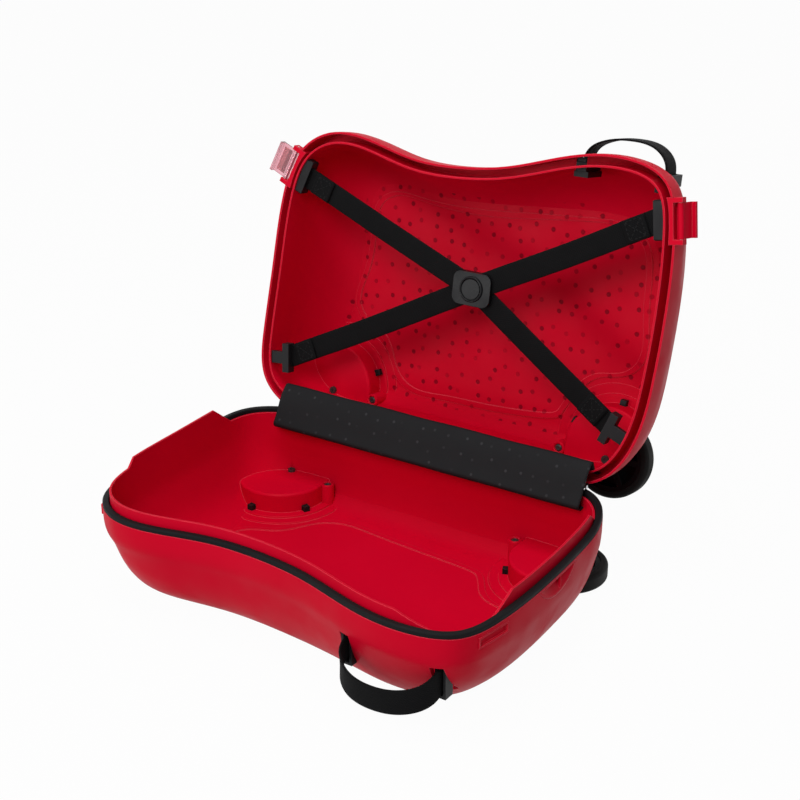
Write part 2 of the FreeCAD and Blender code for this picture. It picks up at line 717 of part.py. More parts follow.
def leg(end, share, inward, layer, gap):
    """One strap of the cross; the lower pair lies one layer behind the upper pair."""
    outer_end, inner_end = leg_ends(end, share, inward)
    deep = CROSS_DEEP + layer * (CROSS_THICK + 2 * POCKET_GAP)
    band = leg_box(inner_end, outer_end, CROSS_WIDE + 2 * gap, deep - gap, deep + CROSS_THICK + gap)
    return band.common(inside_lip())


def top_anchor():
    half_long = ANCHOR_LONG / 2
    out_to = -LID.lip_in - FIT_GAP
    body = local_box(out_to - ANCHOR_DEEP, out_to, -half_long, half_long,
                     ANCHOR_START, ANCHOR_START + ANCHOR_HIGH)
    edges = [e for e in body.Edges if abs(e.Vertexes[0].Point.y - e.Vertexes[1].Point.y) < FIT_GAP]
    return body.makeChamfer(RUN_GAP * 4, edges)


def hook():
    """The clip that hooks the lower strap ends over the lip: a tongue and a wider bar."""
    out_to = -LID.lip_in - FIT_GAP
    tongue = local_box(out_to - HOOK_TONGUE_LONG, out_to, -HOOK_TONGUE / 2, HOOK_TONGUE / 2,
                       ANCHOR_START, ANCHOR_START + HOOK_HIGH / 2)
    bar_end = out_to - HOOK_TONGUE_LONG
    bar = local_box(bar_end - HOOK_BAR_DEEP, bar_end, -HOOK_BAR_LONG / 2, HOOK_BAR_LONG / 2,
                    ANCHOR_START, ANCHOR_START + HOOK_HIGH)
    return tongue.fuse(bar)


def buckle_plate(u_half, v_half, deep_from, deep_to):
    plate = block(BUCKLE_U - u_half, BUCKLE_U + u_half, BUCKLE_V - v_half, BUCKLE_V + v_half,
                  LID.at(deep_from), LID.at(deep_to))
    edges = [e for e in plate.Edges if abs(e.Vertexes[0].Point.z - e.Vertexes[1].Point.z) > FIT_GAP]
    return plate.makeFillet(BUCKLE_CORNER, edges)


def tyre_solid(half, side):
    u = wheel_u(side)
    near, far = half.off_face(WHEEL_FACE), half.off_face(WHEEL_FACE + WHEEL_WIDE)
    full = upright(WHEEL_R, u, WHEEL_V, near, far)
    full = full.makeFillet(TYRE_ROUND, [e for e in full.Edges if len(e.Vertexes) == 1])
    return full.cut(upright(WHEEL_R - TYRE_THICK, u, WHEEL_V, near, far))


def wheel_rim(half, side):
    """A moulded wheel: outer ring, thin web, spokes and a hub bored for the axle."""
    u = wheel_u(side)
    ring_r = WHEEL_R - TYRE_THICK - FIT_GAP / 2
    near = half.off_face(WHEEL_FACE + TYRE_BEAD)
    far = half.off_face(WHEEL_FACE + WHEEL_WIDE - TYRE_BEAD)
    body = upright(ring_r, u, WHEEL_V, near, far)
    body = body.cut(upright(ring_r - RIM_RING, u, WHEEL_V, near, far))
    web_far = half.off_face(WHEEL_FACE + TYRE_BEAD + WEB_THICK)
    body = body.fuse(upright(ring_r - RIM_RING / 2, u, WHEEL_V, near, web_far))
    hub_far = half.off_face(WHEEL_FACE + WHEEL_WIDE)
    body = body.fuse(upright(HUB_R, u, WHEEL_V, near, hub_far))
    for k in range(SPOKE_COUNT):
        spoke = block(HUB_R / 2, ring_r - RIM_RING / 2, -SPOKE_WIDE / 2, SPOKE_WIDE / 2, near, far)
        spoke.translate(Vec(u, -WHEEL_V, 0))
        spoke.rotate(place(u, WHEEL_V, 0), Vec(0, 0, 1), 360.0 * k / SPOKE_COUNT)
        body = body.fuse(spoke)
    recess = half.off_face(WHEEL_FACE + TYRE_BEAD + HUB_RECESS)
    body = body.cut(upright(CAP_R + FIT_GAP / 2, u, WHEEL_V, near, recess))
    return body.cut(upright(AXLE_R + AXLE_FIT, u, WHEEL_V, near, half.off_face(WELL_ROOF)))


def wheel_cap(half, side):
    near = half.off_face(WHEEL_FACE + TYRE_BEAD)
    return upright(CAP_R, wheel_u(side), WHEEL_V, near, half.off_face(WHEEL_FACE + TYRE_BEAD + CAP_THICK))


def axle(half, side):
    """A headed pin: its head turns under the hub cap, its far end is tapped for the inside screw."""
    u = wheel_u(side)
    head_end = WHEEL_FACE + TYRE_BEAD + HUB_RECESS - RUN_GAP
    head = upright(AXLE_HEAD_R, u, WHEEL_V, half.off_face(head_end - AXLE_HEAD), half.off_face(head_end))
    pin_end = half.off_face(WELL_ROOF + WALL - FIT_GAP)
    pin = head.fuse(upright(AXLE_R, u, WHEEL_V, half.off_face(head_end - AXLE_HEAD / 2), pin_end))
    tap_from = half.off_face(WELL_ROOF + WALL - AXLE_TAP)
    return pin.cut(upright(SCREW_SHANK + PIN_FIT, u, WHEEL_V, tap_from, pin_end))


def axle_screw(half, side):
    u = wheel_u(side)
    seat = WELL_ROOF + WALL + FIT_GAP
    head = upright(SCREW_R, u, WHEEL_V, half.off_face(seat), half.off_face(seat + SCREW_HEAD))
    for turn in (0, 90):
        slot = block(-SCREW_R / 2, SCREW_R / 2, -SCREW_SLOT / 2, SCREW_SLOT / 2,
                     half.off_face(seat + SCREW_HEAD / 2), half.off_face(seat + SCREW_HEAD + OVERRUN))
        slot.translate(Vec(u, -WHEEL_V, 0))
        slot.rotate(place(u, WHEEL_V, 0), Vec(0, 0, 1), turn)
        head = head.cut(slot)
    shank_from = half.off_face(WELL_ROOF + WALL - AXLE_TAP / 2)
    shank = upright(SCREW_SHANK, u, WHEEL_V, shank_from, half.off_face(seat))
    return head.fuse(shank)


def wheel_bracket(half, side, outer):
    """The black housing clipped into the well: back plate, skirt round the arch, axle boss and hooks."""
    plate_from, plate_to = half.off_face(WELL_ROOF - BRACKET_PLATE), half.off_face(WELL_ROOF - FIT_GAP)
    body = arch(half, side, WELL_R - FIT_GAP, plate_from, plate_to)
    skirt = upright(WELL_R - FIT_GAP, wheel_u(side), half.well_v, half.off_face(SKIRT_START), plate_to)
    skirt = skirt.cut(upright(WELL_R - FIT_GAP - SKIRT_THICK, wheel_u(side), half.well_v,
                              half.off_face(SKIRT_START), plate_to))
    upper = block(-LENGTH, LENGTH, half.well_v, HEIGHT, half.off_face(0), plate_to)
    body = body.fuse(skirt.common(upper))
    boss_from = half.off_face(WHEEL_FACE + WHEEL_WIDE + RUN_GAP)
    boss = upright(BOSS_R, wheel_u(side), WHEEL_V, boss_from, plate_to)
    body = body.fuse(boss).common(outer)
    for angle in SNAP_ANGLES:
        reach = WELL_R + SNAP_REACH
        body = body.fuse(snap_block(half, side, angle, WELL_R - FIT_GAP - SKIRT_THICK, reach, 0))
    bore_end = half.off_face(WELL_ROOF + OVERRUN)
    return body.cut(upright(AXLE_R + PIN_FIT, wheel_u(side), WHEEL_V, half.off_face(0), bore_end))


def gasket():
    lower = BASE.at(0) + FIT_GAP
    band = prism(rim_inset(GASKET_IN), lower, BASE.at(-GASKET_HEIGHT))
    band = band.cut(prism(rim_inset(GASKET_OUT), lower, BASE.at(-GASKET_HEIGHT)))
    top = [e for e in band.Edges if e.BoundBox.ZMin > BASE.at(-GASKET_HEIGHT) - FIT_GAP]
    band = band.makeFillet(GASKET_ROUND, top)
    tongue = ring(WALL + TONGUE_GAP, BASE.lip_out - TONGUE_GAP - RUN_GAP,
                  BASE.at(TONGUE_DEPTH), lower + FIT_GAP)
    clear = block(HINGE_LEFT - RUN_GAP, HINGE_RIGHT + RUN_GAP, -OVERRUN, NOTCH_DEEP * 2, 0, HEIGHT)
    return band.fuse(tongue).cut(clear).cut(eye_ball(EYE_SKIN + FIT_GAP, EYE_TOP - FIT_GAP))


def eye_ball(grow, top):
    """A ball centred outside the end wall and above the rim, cut off level under the gasket."""
    out_from = rim_spot(1, EYE_SHARE)[0].x
    ball = Part.makeSphere(EYE_R + grow, place(out_from + EYE_OUT, HEIGHT * EYE_SHARE, BASE.at(-EYE_UP)))
    return ball.common(block(0, LENGTH, 0, HEIGHT, 0, BASE.at(top)))


def tow_eye(outer):
    """A half-moon cup in the end wall with an upright bar that a tow cord hooks round."""
    cup = eye_ball(EYE_SKIN, EYE_TOP).common(outer)
    bar_in = EYE_BAR_R + FIT_GAP
    bar_end = math.sqrt((EYE_R + EYE_SKIN / 2) ** 2 - (EYE_OUT + bar_in) ** 2) - EYE_UP
    bar = upright(EYE_BAR_R, rim_spot(1, EYE_SHARE)[0].x - bar_in, HEIGHT * EYE_SHARE,
                  BASE.at(EYE_TOP + EYE_SKIN / 2), BASE.at(bar_end))
    return cup.cut(eye_ball(0, EYE_TOP + EYE_SKIN)).fuse(bar.common(outer))


def rail(half, thick_from, thick_to):
    """A strip on the inner face of the lip, where one edge of the cover is fixed."""
    return block(LENGTH * RAIL_LEFT_SHARE, LENGTH * RAIL_RIGHT_SHARE, half.lip_in + thick_from, half.lip_in + thick_to,
                 half.at(RAIL_START), half.at(RAIL_START + RAIL_WIDE))


def cover_path():
    """The bent cover seen from its end: off the lid's rail, over the hinge and under to the base's rail."""
    on_rail = RUN_GAP + RAIL_THICK + RUN_GAP + COVER_THICK / 2
    lid_edge = [place(0, LID.lip_in + on_rail, LID.at(RAIL_START + RAIL_WIDE * share))
                for share in COVER_SEAT_SHARES]
    points = [opened(Part.Vertex(spot)).Point for spot in lid_edge]
    for a, b in COVER_SHARES:
        points.append(place(0, COVER_REACH * a, HINGE_Z + COVER_REACH * b))
    points.append(place(0, BASE.lip_in + on_rail, BASE.at(RAIL_START + RAIL_WIDE)))
    return points


def hinge_cover():
    """The cover as one extruded sheet, trimmed where its ends pass the curved corners of the lips."""
    path = Part.BSplineCurve()
    path.interpolate(Points=cover_path())
    front, back = [], []
    for k in range(COVER_STEPS + 1):
        t = path.FirstParameter + (path.LastParameter - path.FirstParameter) * k / COVER_STEPS
        spot, tangent = path.value(t), path.tangent(t)[0]
        side = Vec(0, -tangent.z, tangent.y) * (COVER_THICK / 2)
        front.append(spot + side)
        back.append(spot - side)
    edges = []
    for points in (front, back):
        curve = Part.BSplineCurve()
        curve.interpolate(Points=points)
        edges.append(curve.toShape())
    edges.append(Part.makeLine(front[0], back[0]))
    edges.append(Part.makeLine(front[-1], back[-1]))
    face = Part.Face(Part.Wire(Part.__sortEdges__(edges)))
    sheet = face.extrude(Vec(LENGTH * (COVER_RIGHT_SHARE - COVER_LEFT_SHARE), 0, 0))
    sheet.translate(Vec(LENGTH * COVER_LEFT_SHARE, 0, 0))
    base_lips = ring(-OVERRUN, BASE.lip_in + RUN_GAP, BASE.at(2 * OVERRUN), BASE.at(-GASKET_HEIGHT - RUN_GAP))
    lid_lips = ring(-OVERRUN, LID.lip_in + RUN_GAP, LID.at(-RUN_GAP), LID.at(2 * OVERRUN))
    return sheet.cut(base_lips).cut(opened(lid_lips))


def loop_prism(points, z_from, z_to):
    """A prism on a smooth closed loop through any number of points."""
    curve = Part.BSplineCurve()
    curve.interpolate(Points=[place(u, v, z_from) for u, v in points], PeriodicFlag=True)
    return Part.Face(Part.Wire(curve.toShape())).extrude(Vec(0, 0, z_to - z_from))


def face_bead(half):
    """A low bead on the inside of the side face, rooted in the wall."""
    root, crest = half.off_face(WALL / 2), half.off_face(WALL + BEAD_TALL)
    middle_u, middle_v = 0, HEIGHT / 2
    outside, inside = [], []
    for u, v in sized(half.bead_shares):
        reach = math.hypot(u - middle_u, v - middle_v)
        shrink = 1 - BEAD_WIDE / reach
        outside.append((u, v))
        inside.append((middle_u + (u - middle_u) * shrink, middle_v + (v - middle_v) * shrink))
    return loop_prism(outside, root, crest).cut(loop_prism(inside, root, crest))


def hinge_pin():
    left = Vec(HINGE_LEFT + KNUCKLE_GAP, AXLE_AT.y, HINGE_Z)
    return rod(PIN_R, left, Vec(HINGE_RIGHT - KNUCKLE_GAP, AXLE_AT.y, HINGE_Z))


def save(name, shapes):
    solids = []
    for shape in shapes:
        solids += shape.Solids
    result = solids[0] if len(solids) == 1 else Part.makeCompound(solids)
    result.exportStep("parts/" + name + ".step")


base_outer = outer_body(BASE)
lid_outer = outer_body(LID)

# Base and lid shells
base_shell = half_shell(BASE, base_outer).fuse(standing_lip()).fuse(knuckles("base", -1))
base_shell = base_shell.fuse(face_bead(BASE))
lid_shell = half_shell(LID, lid_outer).fuse(knuckles("lid", 1)).fuse(face_bead(LID))
base_slots = [LENGTH * share for share in BASE_SLOT_SHARES]
lid_slots = [LENGTH * share for share in LID_SLOT_SHARES]
base_spots = [(u, front_wall(base_outer, u, BASE_SLOT_Z)) for u in base_slots]
lid_spots = [(u, front_wall(lid_outer, u, LID.at(LID_SLOT_DEEP))) for u in lid_slots]
for u, v in base_spots:
    base_shell = base_shell.cut(slot_box(u, v, BASE_SLOT_Z, GROMMET_WALL + FIT_GAP, -OVERRUN, OVERRUN))
for u, v in lid_spots:
    slot = slot_box(u, v, LID.at(LID_SLOT_DEEP), GROMMET_WALL + FIT_GAP, -OVERRUN, OVERRUN)
    lid_shell = lid_shell.cut(slot)
base_shell = base_shell.cut(eye_ball(EYE_SKIN + FIT_GAP, EYE_TOP - FIT_GAP))
latch_ends = (("left", -1, LATCH_LEFT_SHARE), ("right", 1, LATCH_RIGHT_SHARE))
rim_gasket = gasket()
for name, end, share in latch_ends:
    lid_shell = lid_shell.cut(at_rim(latch_notch(), end, share, LID))
    keeper_hole = keeper_box(KEEPER_GAP + KEEPER_THICK + FIT_GAP, -WALL * 2, OVERRUN)
    base_shell = base_shell.cut(at_rim(keeper_hole, end, share, LID))
    rim_gasket = rim_gasket.cut(at_rim(keeper_hole, end, share, LID))
save("base_shell", [base_shell])
save("lid_shell", [opened(lid_shell)])
save("rim_gasket", [rim_gasket])
save("hinge_pin", [hinge_pin()])

# Wheels and their brackets
for half, half_name, outer in ((BASE, "base", base_outer), (LID, "lid", lid_outer)):
    screws = []
    for side, side_name in ((-1, "left"), (1, "right")):
        pieces = {
            "wheel_bracket": wheel_bracket(half, side, outer),
            "axle": axle(half, side),
            "wheel_rim": wheel_rim(half, side),
            "tyre": tyre_solid(half, side),
            "hub_cap": wheel_cap(half, side),
        }
        for piece, shape in pieces.items():
            save(half_name + "_" + side_name + "_" + piece, [opened(shape) if half is LID else shape])
        screws.append(opened(axle_screw(half, side)) if half is LID else axle_screw(half, side))
    save(half_name + "_axle_screws", screws)

# Carry straps
base_loop = strap_loop(base_spots, BASE_LOOP_SHARES, BASE_LOOP_OUT, BASE_LOOP_DROP, BASE_SLOT_Z)
save("base_hand_strap", [base_loop])
save("base_strap_grommets", [grommet(u, v, BASE_SLOT_Z) for u, v in base_spots])
base_room = inner_body(BASE)
save("base_strap_anchors", [strap_anchor(u, v, BASE_SLOT_Z).common(base_room) for u, v in base_spots])
lid_slot_z = LID.at(LID_SLOT_DEEP)
save("lid_hand_strap", [opened(strap_loop(lid_spots, LID_LOOP_SHARES, LID_LOOP_OUT, 0, lid_slot_z))])
save("lid_strap_grommets", [opened(grommet(u, v, lid_slot_z)) for u, v in lid_spots])
lid_room = inner_body(LID)
save("lid_strap_anchors", [opened(strap_anchor(u, v, lid_slot_z).common(lid_room)) for u, v in lid_spots])

# Crossed packing straps
legs = {
    "upper_left": (-1, TOP_ANCHOR_LEFT_SHARE, ANCHOR_DEEP - LEG_INTO, 0),
    "upper_right": (1, TOP_ANCHOR_RIGHT_SHARE, ANCHOR_DEEP - LEG_INTO, 0),
    "lower_left": (-1, HOOK_LEFT_SHARE, HOOK_TONGUE_LONG + HOOK_BAR_DEEP - LEG_INTO, 1),
    "lower_right": (1, HOOK_RIGHT_SHARE, HOOK_TONGUE_LONG + HOOK_BAR_DEEP - LEG_INTO, 1),
}
buckle = buckle_plate(BUCKLE_LONG / 2, BUCKLE_TALL / 2, BUCKLE_FRONT, BUCKLE_FRONT + BUCKLE_THICK)
for name, (end, share, inward, layer) in legs.items():
    pocket = leg(end, share, inward, layer, POCKET_GAP)
    buckle = buckle.cut(pocket)
    clip = at_rim(top_anchor() if "upper" in name else hook(), end, share, LID)
    clip = clip.common(inside_lip()).cut(pocket)
    save("strap_" + ("anchor_" if "upper" in name else "hook_") + name[6:], [opened(clip)])
    save("cross_strap_" + name, [opened(leg(end, share, inward, layer, 0))])
button_seat = BUCKLE_FRONT + BUTTON_LONG - BUTTON_PROUD + BUTTON_TRAVEL + RUN_GAP
buckle = buckle.cut(upright(BUTTON_R + RUN_GAP, BUCKLE_U, BUCKLE_V, LID.at(0), LID.at(button_seat)))
save("buckle_body", [opened(buckle)])
button_from = LID.at(BUCKLE_FRONT - BUTTON_PROUD)
save("buckle_button", [opened(upright(BUTTON_R, BUCKLE_U, BUCKLE_V, button_from, button_from + BUTTON_LONG))])

# Latches, keepers and tag cards
pins, keepers = [], []
for name, end, share in latch_ends:
    angle = LEFT_LATCH_OPEN if name == "left" else RIGHT_LATCH_OPEN
    save(name + "_latch_block", [opened(latch_block(end, share))])
    save(name + "_latch_lever", [opened(at_rim(swung(latch_lever(), angle), end, share, LID))])
    save(name + "_tag_card", [opened(at_rim(swung(tag_card(), angle), end, share, LID))])
    pins.append(opened(at_rim(latch_pin(), end, share, LID)))
    keepers.append(at_rim(keeper(), end, share, LID))
save("latch_pins", pins)
save("latch_keepers", keepers)

# Tow eye and hinge cover
save("tow_eye", [tow_eye(base_outer)])
save("hinge_cover", [hinge_cover()])
save("lid_cover_rail", [opened(rail(LID, RUN_GAP, RUN_GAP + RAIL_THICK))])
save("base_cover_rail", [rail(BASE, RUN_GAP, RUN_GAP + RAIL_THICK)])
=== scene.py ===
import math

import bpy
import numpy as np
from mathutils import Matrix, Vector


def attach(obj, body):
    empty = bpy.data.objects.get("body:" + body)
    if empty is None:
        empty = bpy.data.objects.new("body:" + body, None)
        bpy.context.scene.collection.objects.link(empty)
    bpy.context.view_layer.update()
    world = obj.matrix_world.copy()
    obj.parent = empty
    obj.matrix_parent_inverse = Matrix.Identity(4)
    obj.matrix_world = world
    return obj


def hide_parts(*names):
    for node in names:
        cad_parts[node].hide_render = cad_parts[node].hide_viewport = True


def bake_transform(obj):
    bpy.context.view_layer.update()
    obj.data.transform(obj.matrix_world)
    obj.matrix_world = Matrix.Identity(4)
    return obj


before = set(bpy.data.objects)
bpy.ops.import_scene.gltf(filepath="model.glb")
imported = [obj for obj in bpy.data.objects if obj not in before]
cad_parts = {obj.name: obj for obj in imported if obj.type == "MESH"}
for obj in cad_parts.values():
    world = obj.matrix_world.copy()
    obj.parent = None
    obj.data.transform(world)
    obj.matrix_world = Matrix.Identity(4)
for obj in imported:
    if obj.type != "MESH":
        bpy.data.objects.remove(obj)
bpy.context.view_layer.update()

# The two half shells, the latch blocks and keepers and the tow eye: red polypropylene, injection moulded.
# The walls are satin with faint flow marks; corners have a small moulded radius that catches light, and a
# paler pink is painted along the edges as a highlight.
# The lid's side face carries a scatter of small sunk dots on its inside.
MM = 0.001
LID_LEAN = math.radians(9.0)
LID_DEPTH_WAY = Vector((0, math.cos(LID_LEAN), -math.sin(LID_LEAN)))
LID_UP_WAY = Vector((0, math.sin(LID_LEAN), math.cos(LID_LEAN)))
HINGE_LINE = Vector((0, 0.1716, 0.1055))
HINGE_V = 0.0034
HINGE_DEEP = -0.0008
BASE_WALL_Y = 0.175


def lid_spot(u, v, deep):
    """A place in the standing lid, in metres, from millimetres along, up from the hinge wall and deep."""
    return (HINGE_LINE + Vector((u * MM, 0, 0)) + LID_UP_WAY * (v * MM - HINGE_V)
            + LID_DEPTH_WAY * (deep * MM - HINGE_DEEP))


def base_spot(u, v, z):
    """A place in the base, in metres, from millimetres along, across from the hinge wall and up."""
    return Vector((u * MM, BASE_WALL_Y - v * MM, z * MM))


def feed(tree, node, links):
    """Links a node's inputs to other sockets, or sets them to plain values."""
    for socket, source in dict(links).items():
        if isinstance(source, bpy.types.NodeSocket):
            tree.links.new(source, node.inputs[socket])
        else:
            node.inputs[socket].default_value = source


def add(tree, kind, links=(), **settings):
    """A shader node with its settings, and its inputs linked or set."""
    made = tree.nodes.new("ShaderNode" + kind)
    for key, value in settings.items():
        setattr(made, key, value)
    feed(tree, made, links)
    return made


def mixed(tree, factor, first, second):
    """The colour between two others."""
    return add(tree, "Mix", {0: factor, 6: first, 7: second}, data_type="RGBA").outputs[2]


def ramped(tree, value, low, high, to_low=0.0, to_high=1.0):
    """A value carried smoothly from one range to another."""
    links = {"Value": value, "From Min": low, "From Max": high, "To Min": to_low, "To Max": to_high}
    return add(tree, "MapRange", links, interpolation_type="SMOOTHSTEP").outputs[0]


def maths(tree, operation, first, second=0.0):
    """The result of one sum on one or two values."""
    return add(tree, "Math", {0: first, 1: second}, operation=operation).outputs[0]


def noise(tree, place, scale, detail):
    """A cloudy value over the surface."""
    return add(tree, "TexNoise", {"Vector": place, "Scale": scale, "Detail": detail}).outputs[0]


def measured_from(tree, origin):
    """The place on the part, measured from an origin."""
    place = add(tree, "TexCoord").outputs["Object"]
    return add(tree, "VectorMath", {0: place, 1: origin}, operation="SUBTRACT").outputs[0]


def measured_along(tree, reach, way):
    """How far a place or a normal reaches along a way."""
    return add(tree, "VectorMath", {0: reach, 1: way}, operation="DOT_PRODUCT").outputs["Value"]


def shader_group(name, inputs, outputs):
    """An empty node group with named sockets; returns its tree, what it is given and its output node."""
    tree = bpy.data.node_groups.new(name, "ShaderNodeTree")
    for label, kind, value in inputs:
        socket = tree.interface.new_socket(label, in_out="INPUT", socket_type="NodeSocket" + kind)
        socket.default_value = value
    for label, kind in outputs:
        tree.interface.new_socket(label, in_out="OUTPUT", socket_type="NodeSocket" + kind)
    return tree, tree.nodes.new("NodeGroupInput").outputs, tree.nodes.new("NodeGroupOutput")


def grouped(tree, group, values):
    """The outputs of a node group that is placed in a material with its own values."""
    return add(tree, "Group", values, node_tree=group).outputs


DRIFT_SCALE = 5.0
DRIFT_RANGE = (0.35, 0.75)
DRIFT_MOST = 0.5
SCRATCH_TURN = (0.4, 0.9, 0.6)
SCRATCH_STRETCH = (9, 260, 140)
SCRATCH_SCALE = 2.2
SCRATCH_RANGE = (0.70, 0.78)
SCRATCH_DULL = 0.05
SCRATCH_DEEP = 0.3
SMEAR_SCALE = 34.0
SMEAR_RANGE = (0.3, 0.8)


def moulding_marks():
    """Moulded plastic: slow colour drift, fine spark grain and a few handling scratches."""
    tree, given, out = shader_group("moulding_marks", [
        ("Colour", "Color", (0.5, 0.5, 0.5, 1)), ("Deep Colour", "Color", (0.3, 0.3, 0.3, 1)),
        ("Grain Scale", "Float", 900.0), ("Smooth", "Float", 0.25), ("Rough", "Float", 0.4)],
        [("Colour", "Color"), ("Roughness", "Float"), ("Height", "Float")])
    place = add(tree, "TexCoord").outputs["Object"]
    drift = ramped(tree, noise(tree, place, DRIFT_SCALE, detail=2.0), *DRIFT_RANGE, 0.0, DRIFT_MOST)
    grain = noise(tree, place, given["Grain Scale"], detail=2.0)
    drawn = add(tree, "Mapping", {"Vector": place, "Rotation": SCRATCH_TURN, "Scale": SCRATCH_STRETCH})
    scratch = ramped(tree, noise(tree, drawn.outputs[0], SCRATCH_SCALE, detail=4.0), *SCRATCH_RANGE)
    smear = noise(tree, place, SMEAR_SCALE, detail=5.0)
    haze = ramped(tree, smear, *SMEAR_RANGE, given["Smooth"], given["Rough"])
    feed(tree, out, {
        "Colour": mixed(tree, drift, given["Colour"], given["Deep Colour"]),
        "Roughness": maths(tree, "ADD", haze, maths(tree, "MULTIPLY", scratch, SCRATCH_DULL)),
        "Height": maths(tree, "SUBTRACT", grain, maths(tree, "MULTIPLY", scratch, SCRATCH_DEEP))})
    return tree


MOULDING_MARKS = moulding_marks()
EDGE_TURN = (0.80, 0.99)
EDGE_SAMPLES = 4


def edge_rounding_and_highlight():
    """Moulded corners: a rounded normal, and a mask of the edges where an edge colour is painted on as a
    highlight, or as shade where it is darker.
    """
    tree, given, out = shader_group("edge_rounding_and_highlight", [("Radius", "Float", 0.001)],
                                    [("Normal", "Vector"), ("Mask", "Float")])
    rounded = add(tree, "Bevel", {"Radius": given["Radius"]}, samples=EDGE_SAMPLES).outputs[0]
    turn = measured_along(tree, rounded, add(tree, "NewGeometry").outputs["Normal"])
    feed(tree, out, {"Normal": rounded, "Mask": ramped(tree, turn, *EDGE_TURN, 1.0, 0.0)})
    return tree


EDGE_ROUNDING_AND_HIGHLIGHT = edge_rounding_and_highlight()
PLASTIC_IOR = 1.49
GRAIN_STRENGTH = 0.6


def new_finish(name):
    """A material with its tree and its principled shader."""
    finish = bpy.data.materials.new(name)
    finish.use_nodes = True
    tree = finish.node_tree
    return finish, tree, tree.nodes["Principled BSDF"]


def moulded(name, colour, deep_colour, painted_edge_colour, smooth, rough, edge, shine,
            grain_scale=900.0, grain=0.00006):
    """A moulded plastic: marks drive colour and gloss, rounded edges let corners catch light, and the edges
    are painted in their own colour as a highlight, or as shade where that colour is darker.
    """
    finish, tree, shader = new_finish(name)
    marks = grouped(tree, MOULDING_MARKS, {"Colour": colour, "Deep Colour": deep_colour,
                                           "Grain Scale": grain_scale, "Smooth": smooth, "Rough": rough})
    corner = grouped(tree, EDGE_ROUNDING_AND_HIGHLIGHT, {"Radius": edge})
    bump = add(tree, "Bump", {"Distance": grain, "Strength": GRAIN_STRENGTH, "Height": marks["Height"],
                              "Normal": corner["Normal"]}).outputs[0]
    # The edges are painted in the edge colour: a painted highlight, or painted shade where that colour is
    # darker.
    ground = mixed(tree, corner["Mask"], marks["Colour"], painted_edge_colour)
    feed(tree, shader, {"Base Color": ground, "Roughness": marks["Roughness"], "Normal": bump,
                        "IOR": PLASTIC_IOR, "Specular IOR Level": shine})
    return finish, tree, shader, ground, bump


def dress(finish, *names):
    """Gives CAD nodes a finish in place of their plain one."""
    for name in names:
        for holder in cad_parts[name].material_slots:
            holder.material = finish


SHELL_PLASTIC = {
    "colour": (0.62, 0.001, 0.021, 1),
    "deep_colour": (0.53, 0.0, 0.014, 1),
    # Painted highlight: the pale pink along the edges.
    "painted_edge_colour": (0.80, 0.070, 0.105, 1),
    "smooth": 0.40, "rough": 0.54, "edge": 0.0012, "shine": 0.05,
}
red_plastic = moulded("red_plastic", **SHELL_PLASTIC)[0]
dress(red_plastic, "base_shell", "left_latch_block", "right_latch_block", "latch_keepers", "tow_eye")


def scattered_dots():
    """Round dots, one in each cell of a loose grid, some of them fainter."""
    tree, given, out = shader_group("scattered_dots", [
        ("Place", "Vector", (0, 0, 0)), ("Cells", "Float", 50.0), ("Scatter", "Float", 0.5),
        ("Chance Low", "Float", 0.0), ("Chance High", "Float", 1.0), ("Faint", "Float", 0.0),
        ("Full", "Float", 1.0), ("Inner", "Float", 0.1), ("Outer", "Float", 0.2)], [("Mask", "Float")])
    cell = add(tree, "TexVoronoi", {"Vector": given["Place"], "Scale": given["Cells"],
                                    "Randomness": given["Scatter"]}, voronoi_dimensions="2D").outputs
    chance = add(tree, "SeparateColor", {0: cell["Color"]}).outputs[0]
    strength = ramped(tree, chance, given["Chance Low"], given["Chance High"], given["Faint"], given["Full"])
    disc = ramped(tree, cell["Distance"], given["Inner"], given["Outer"], 1.0, 0.0)
    feed(tree, out, {"Mask": maths(tree, "MULTIPLY", strength, disc)})
    return tree


SCATTERED_DOTS = scattered_dots()
DOT_PITCH = 0.0185
DOT_R = 0.0026
DOT_SINK = 0.0006
DOT_SINK_STRENGTH = 0.7
DOT_RED = (0.25, 0.0, 0.010, 1)
FACE_DEEP = (0.0985, 0.1027)
INSIDE_TURN = -0.5
dotted_red, dot_tree, dot_shader, dot_ground, dot_grain = moulded("dotted_red_plastic", **SHELL_PLASTIC)
dot_place = measured_from(dot_tree, lid_spot(0, 0, 0))
dot_along = measured_along(dot_tree, dot_place, (1, 0, 0))
dot_up = measured_along(dot_tree, dot_place, LID_UP_WAY)
dot_deep = measured_along(dot_tree, dot_place, LID_DEPTH_WAY)
dot_turn = measured_along(dot_tree, add(dot_tree, "TexCoord").outputs["Normal"], LID_DEPTH_WAY)
dot_flat = add(dot_tree, "CombineXYZ", {0: dot_along, 1: dot_up}).outputs[0]
dot_mask = grouped(dot_tree, SCATTERED_DOTS, {
    "Place": dot_flat, "Cells": 1 / DOT_PITCH, "Scatter": 0.58, "Chance Low": 0.0, "Chance High": 0.8,
    "Faint": 0.35, "Full": 1.0, "Inner": 0.8 * DOT_R / DOT_PITCH, "Outer": 1.2 * DOT_R / DOT_PITCH})["Mask"]
for test, measure, limit in (("GREATER_THAN", dot_deep, FACE_DEEP[0]), ("LESS_THAN", dot_deep, FACE_DEEP[1]),
                             ("LESS_THAN", dot_turn, INSIDE_TURN)):
    dot_mask = maths(dot_tree, "MULTIPLY", dot_mask, maths(dot_tree, test, measure, limit))
dot_sink = add(dot_tree, "Bump", {"Distance": DOT_SINK, "Strength": DOT_SINK_STRENGTH, "Normal": dot_grain,
                                  "Height": maths(dot_tree, "SUBTRACT", 1.0, dot_mask)}).outputs[0]
feed(dot_tree, dot_shader, {"Base Color": mixed(dot_tree, dot_mask, dot_ground, DOT_RED), "Normal": dot_sink})
dress(dotted_red, "lid_shell")
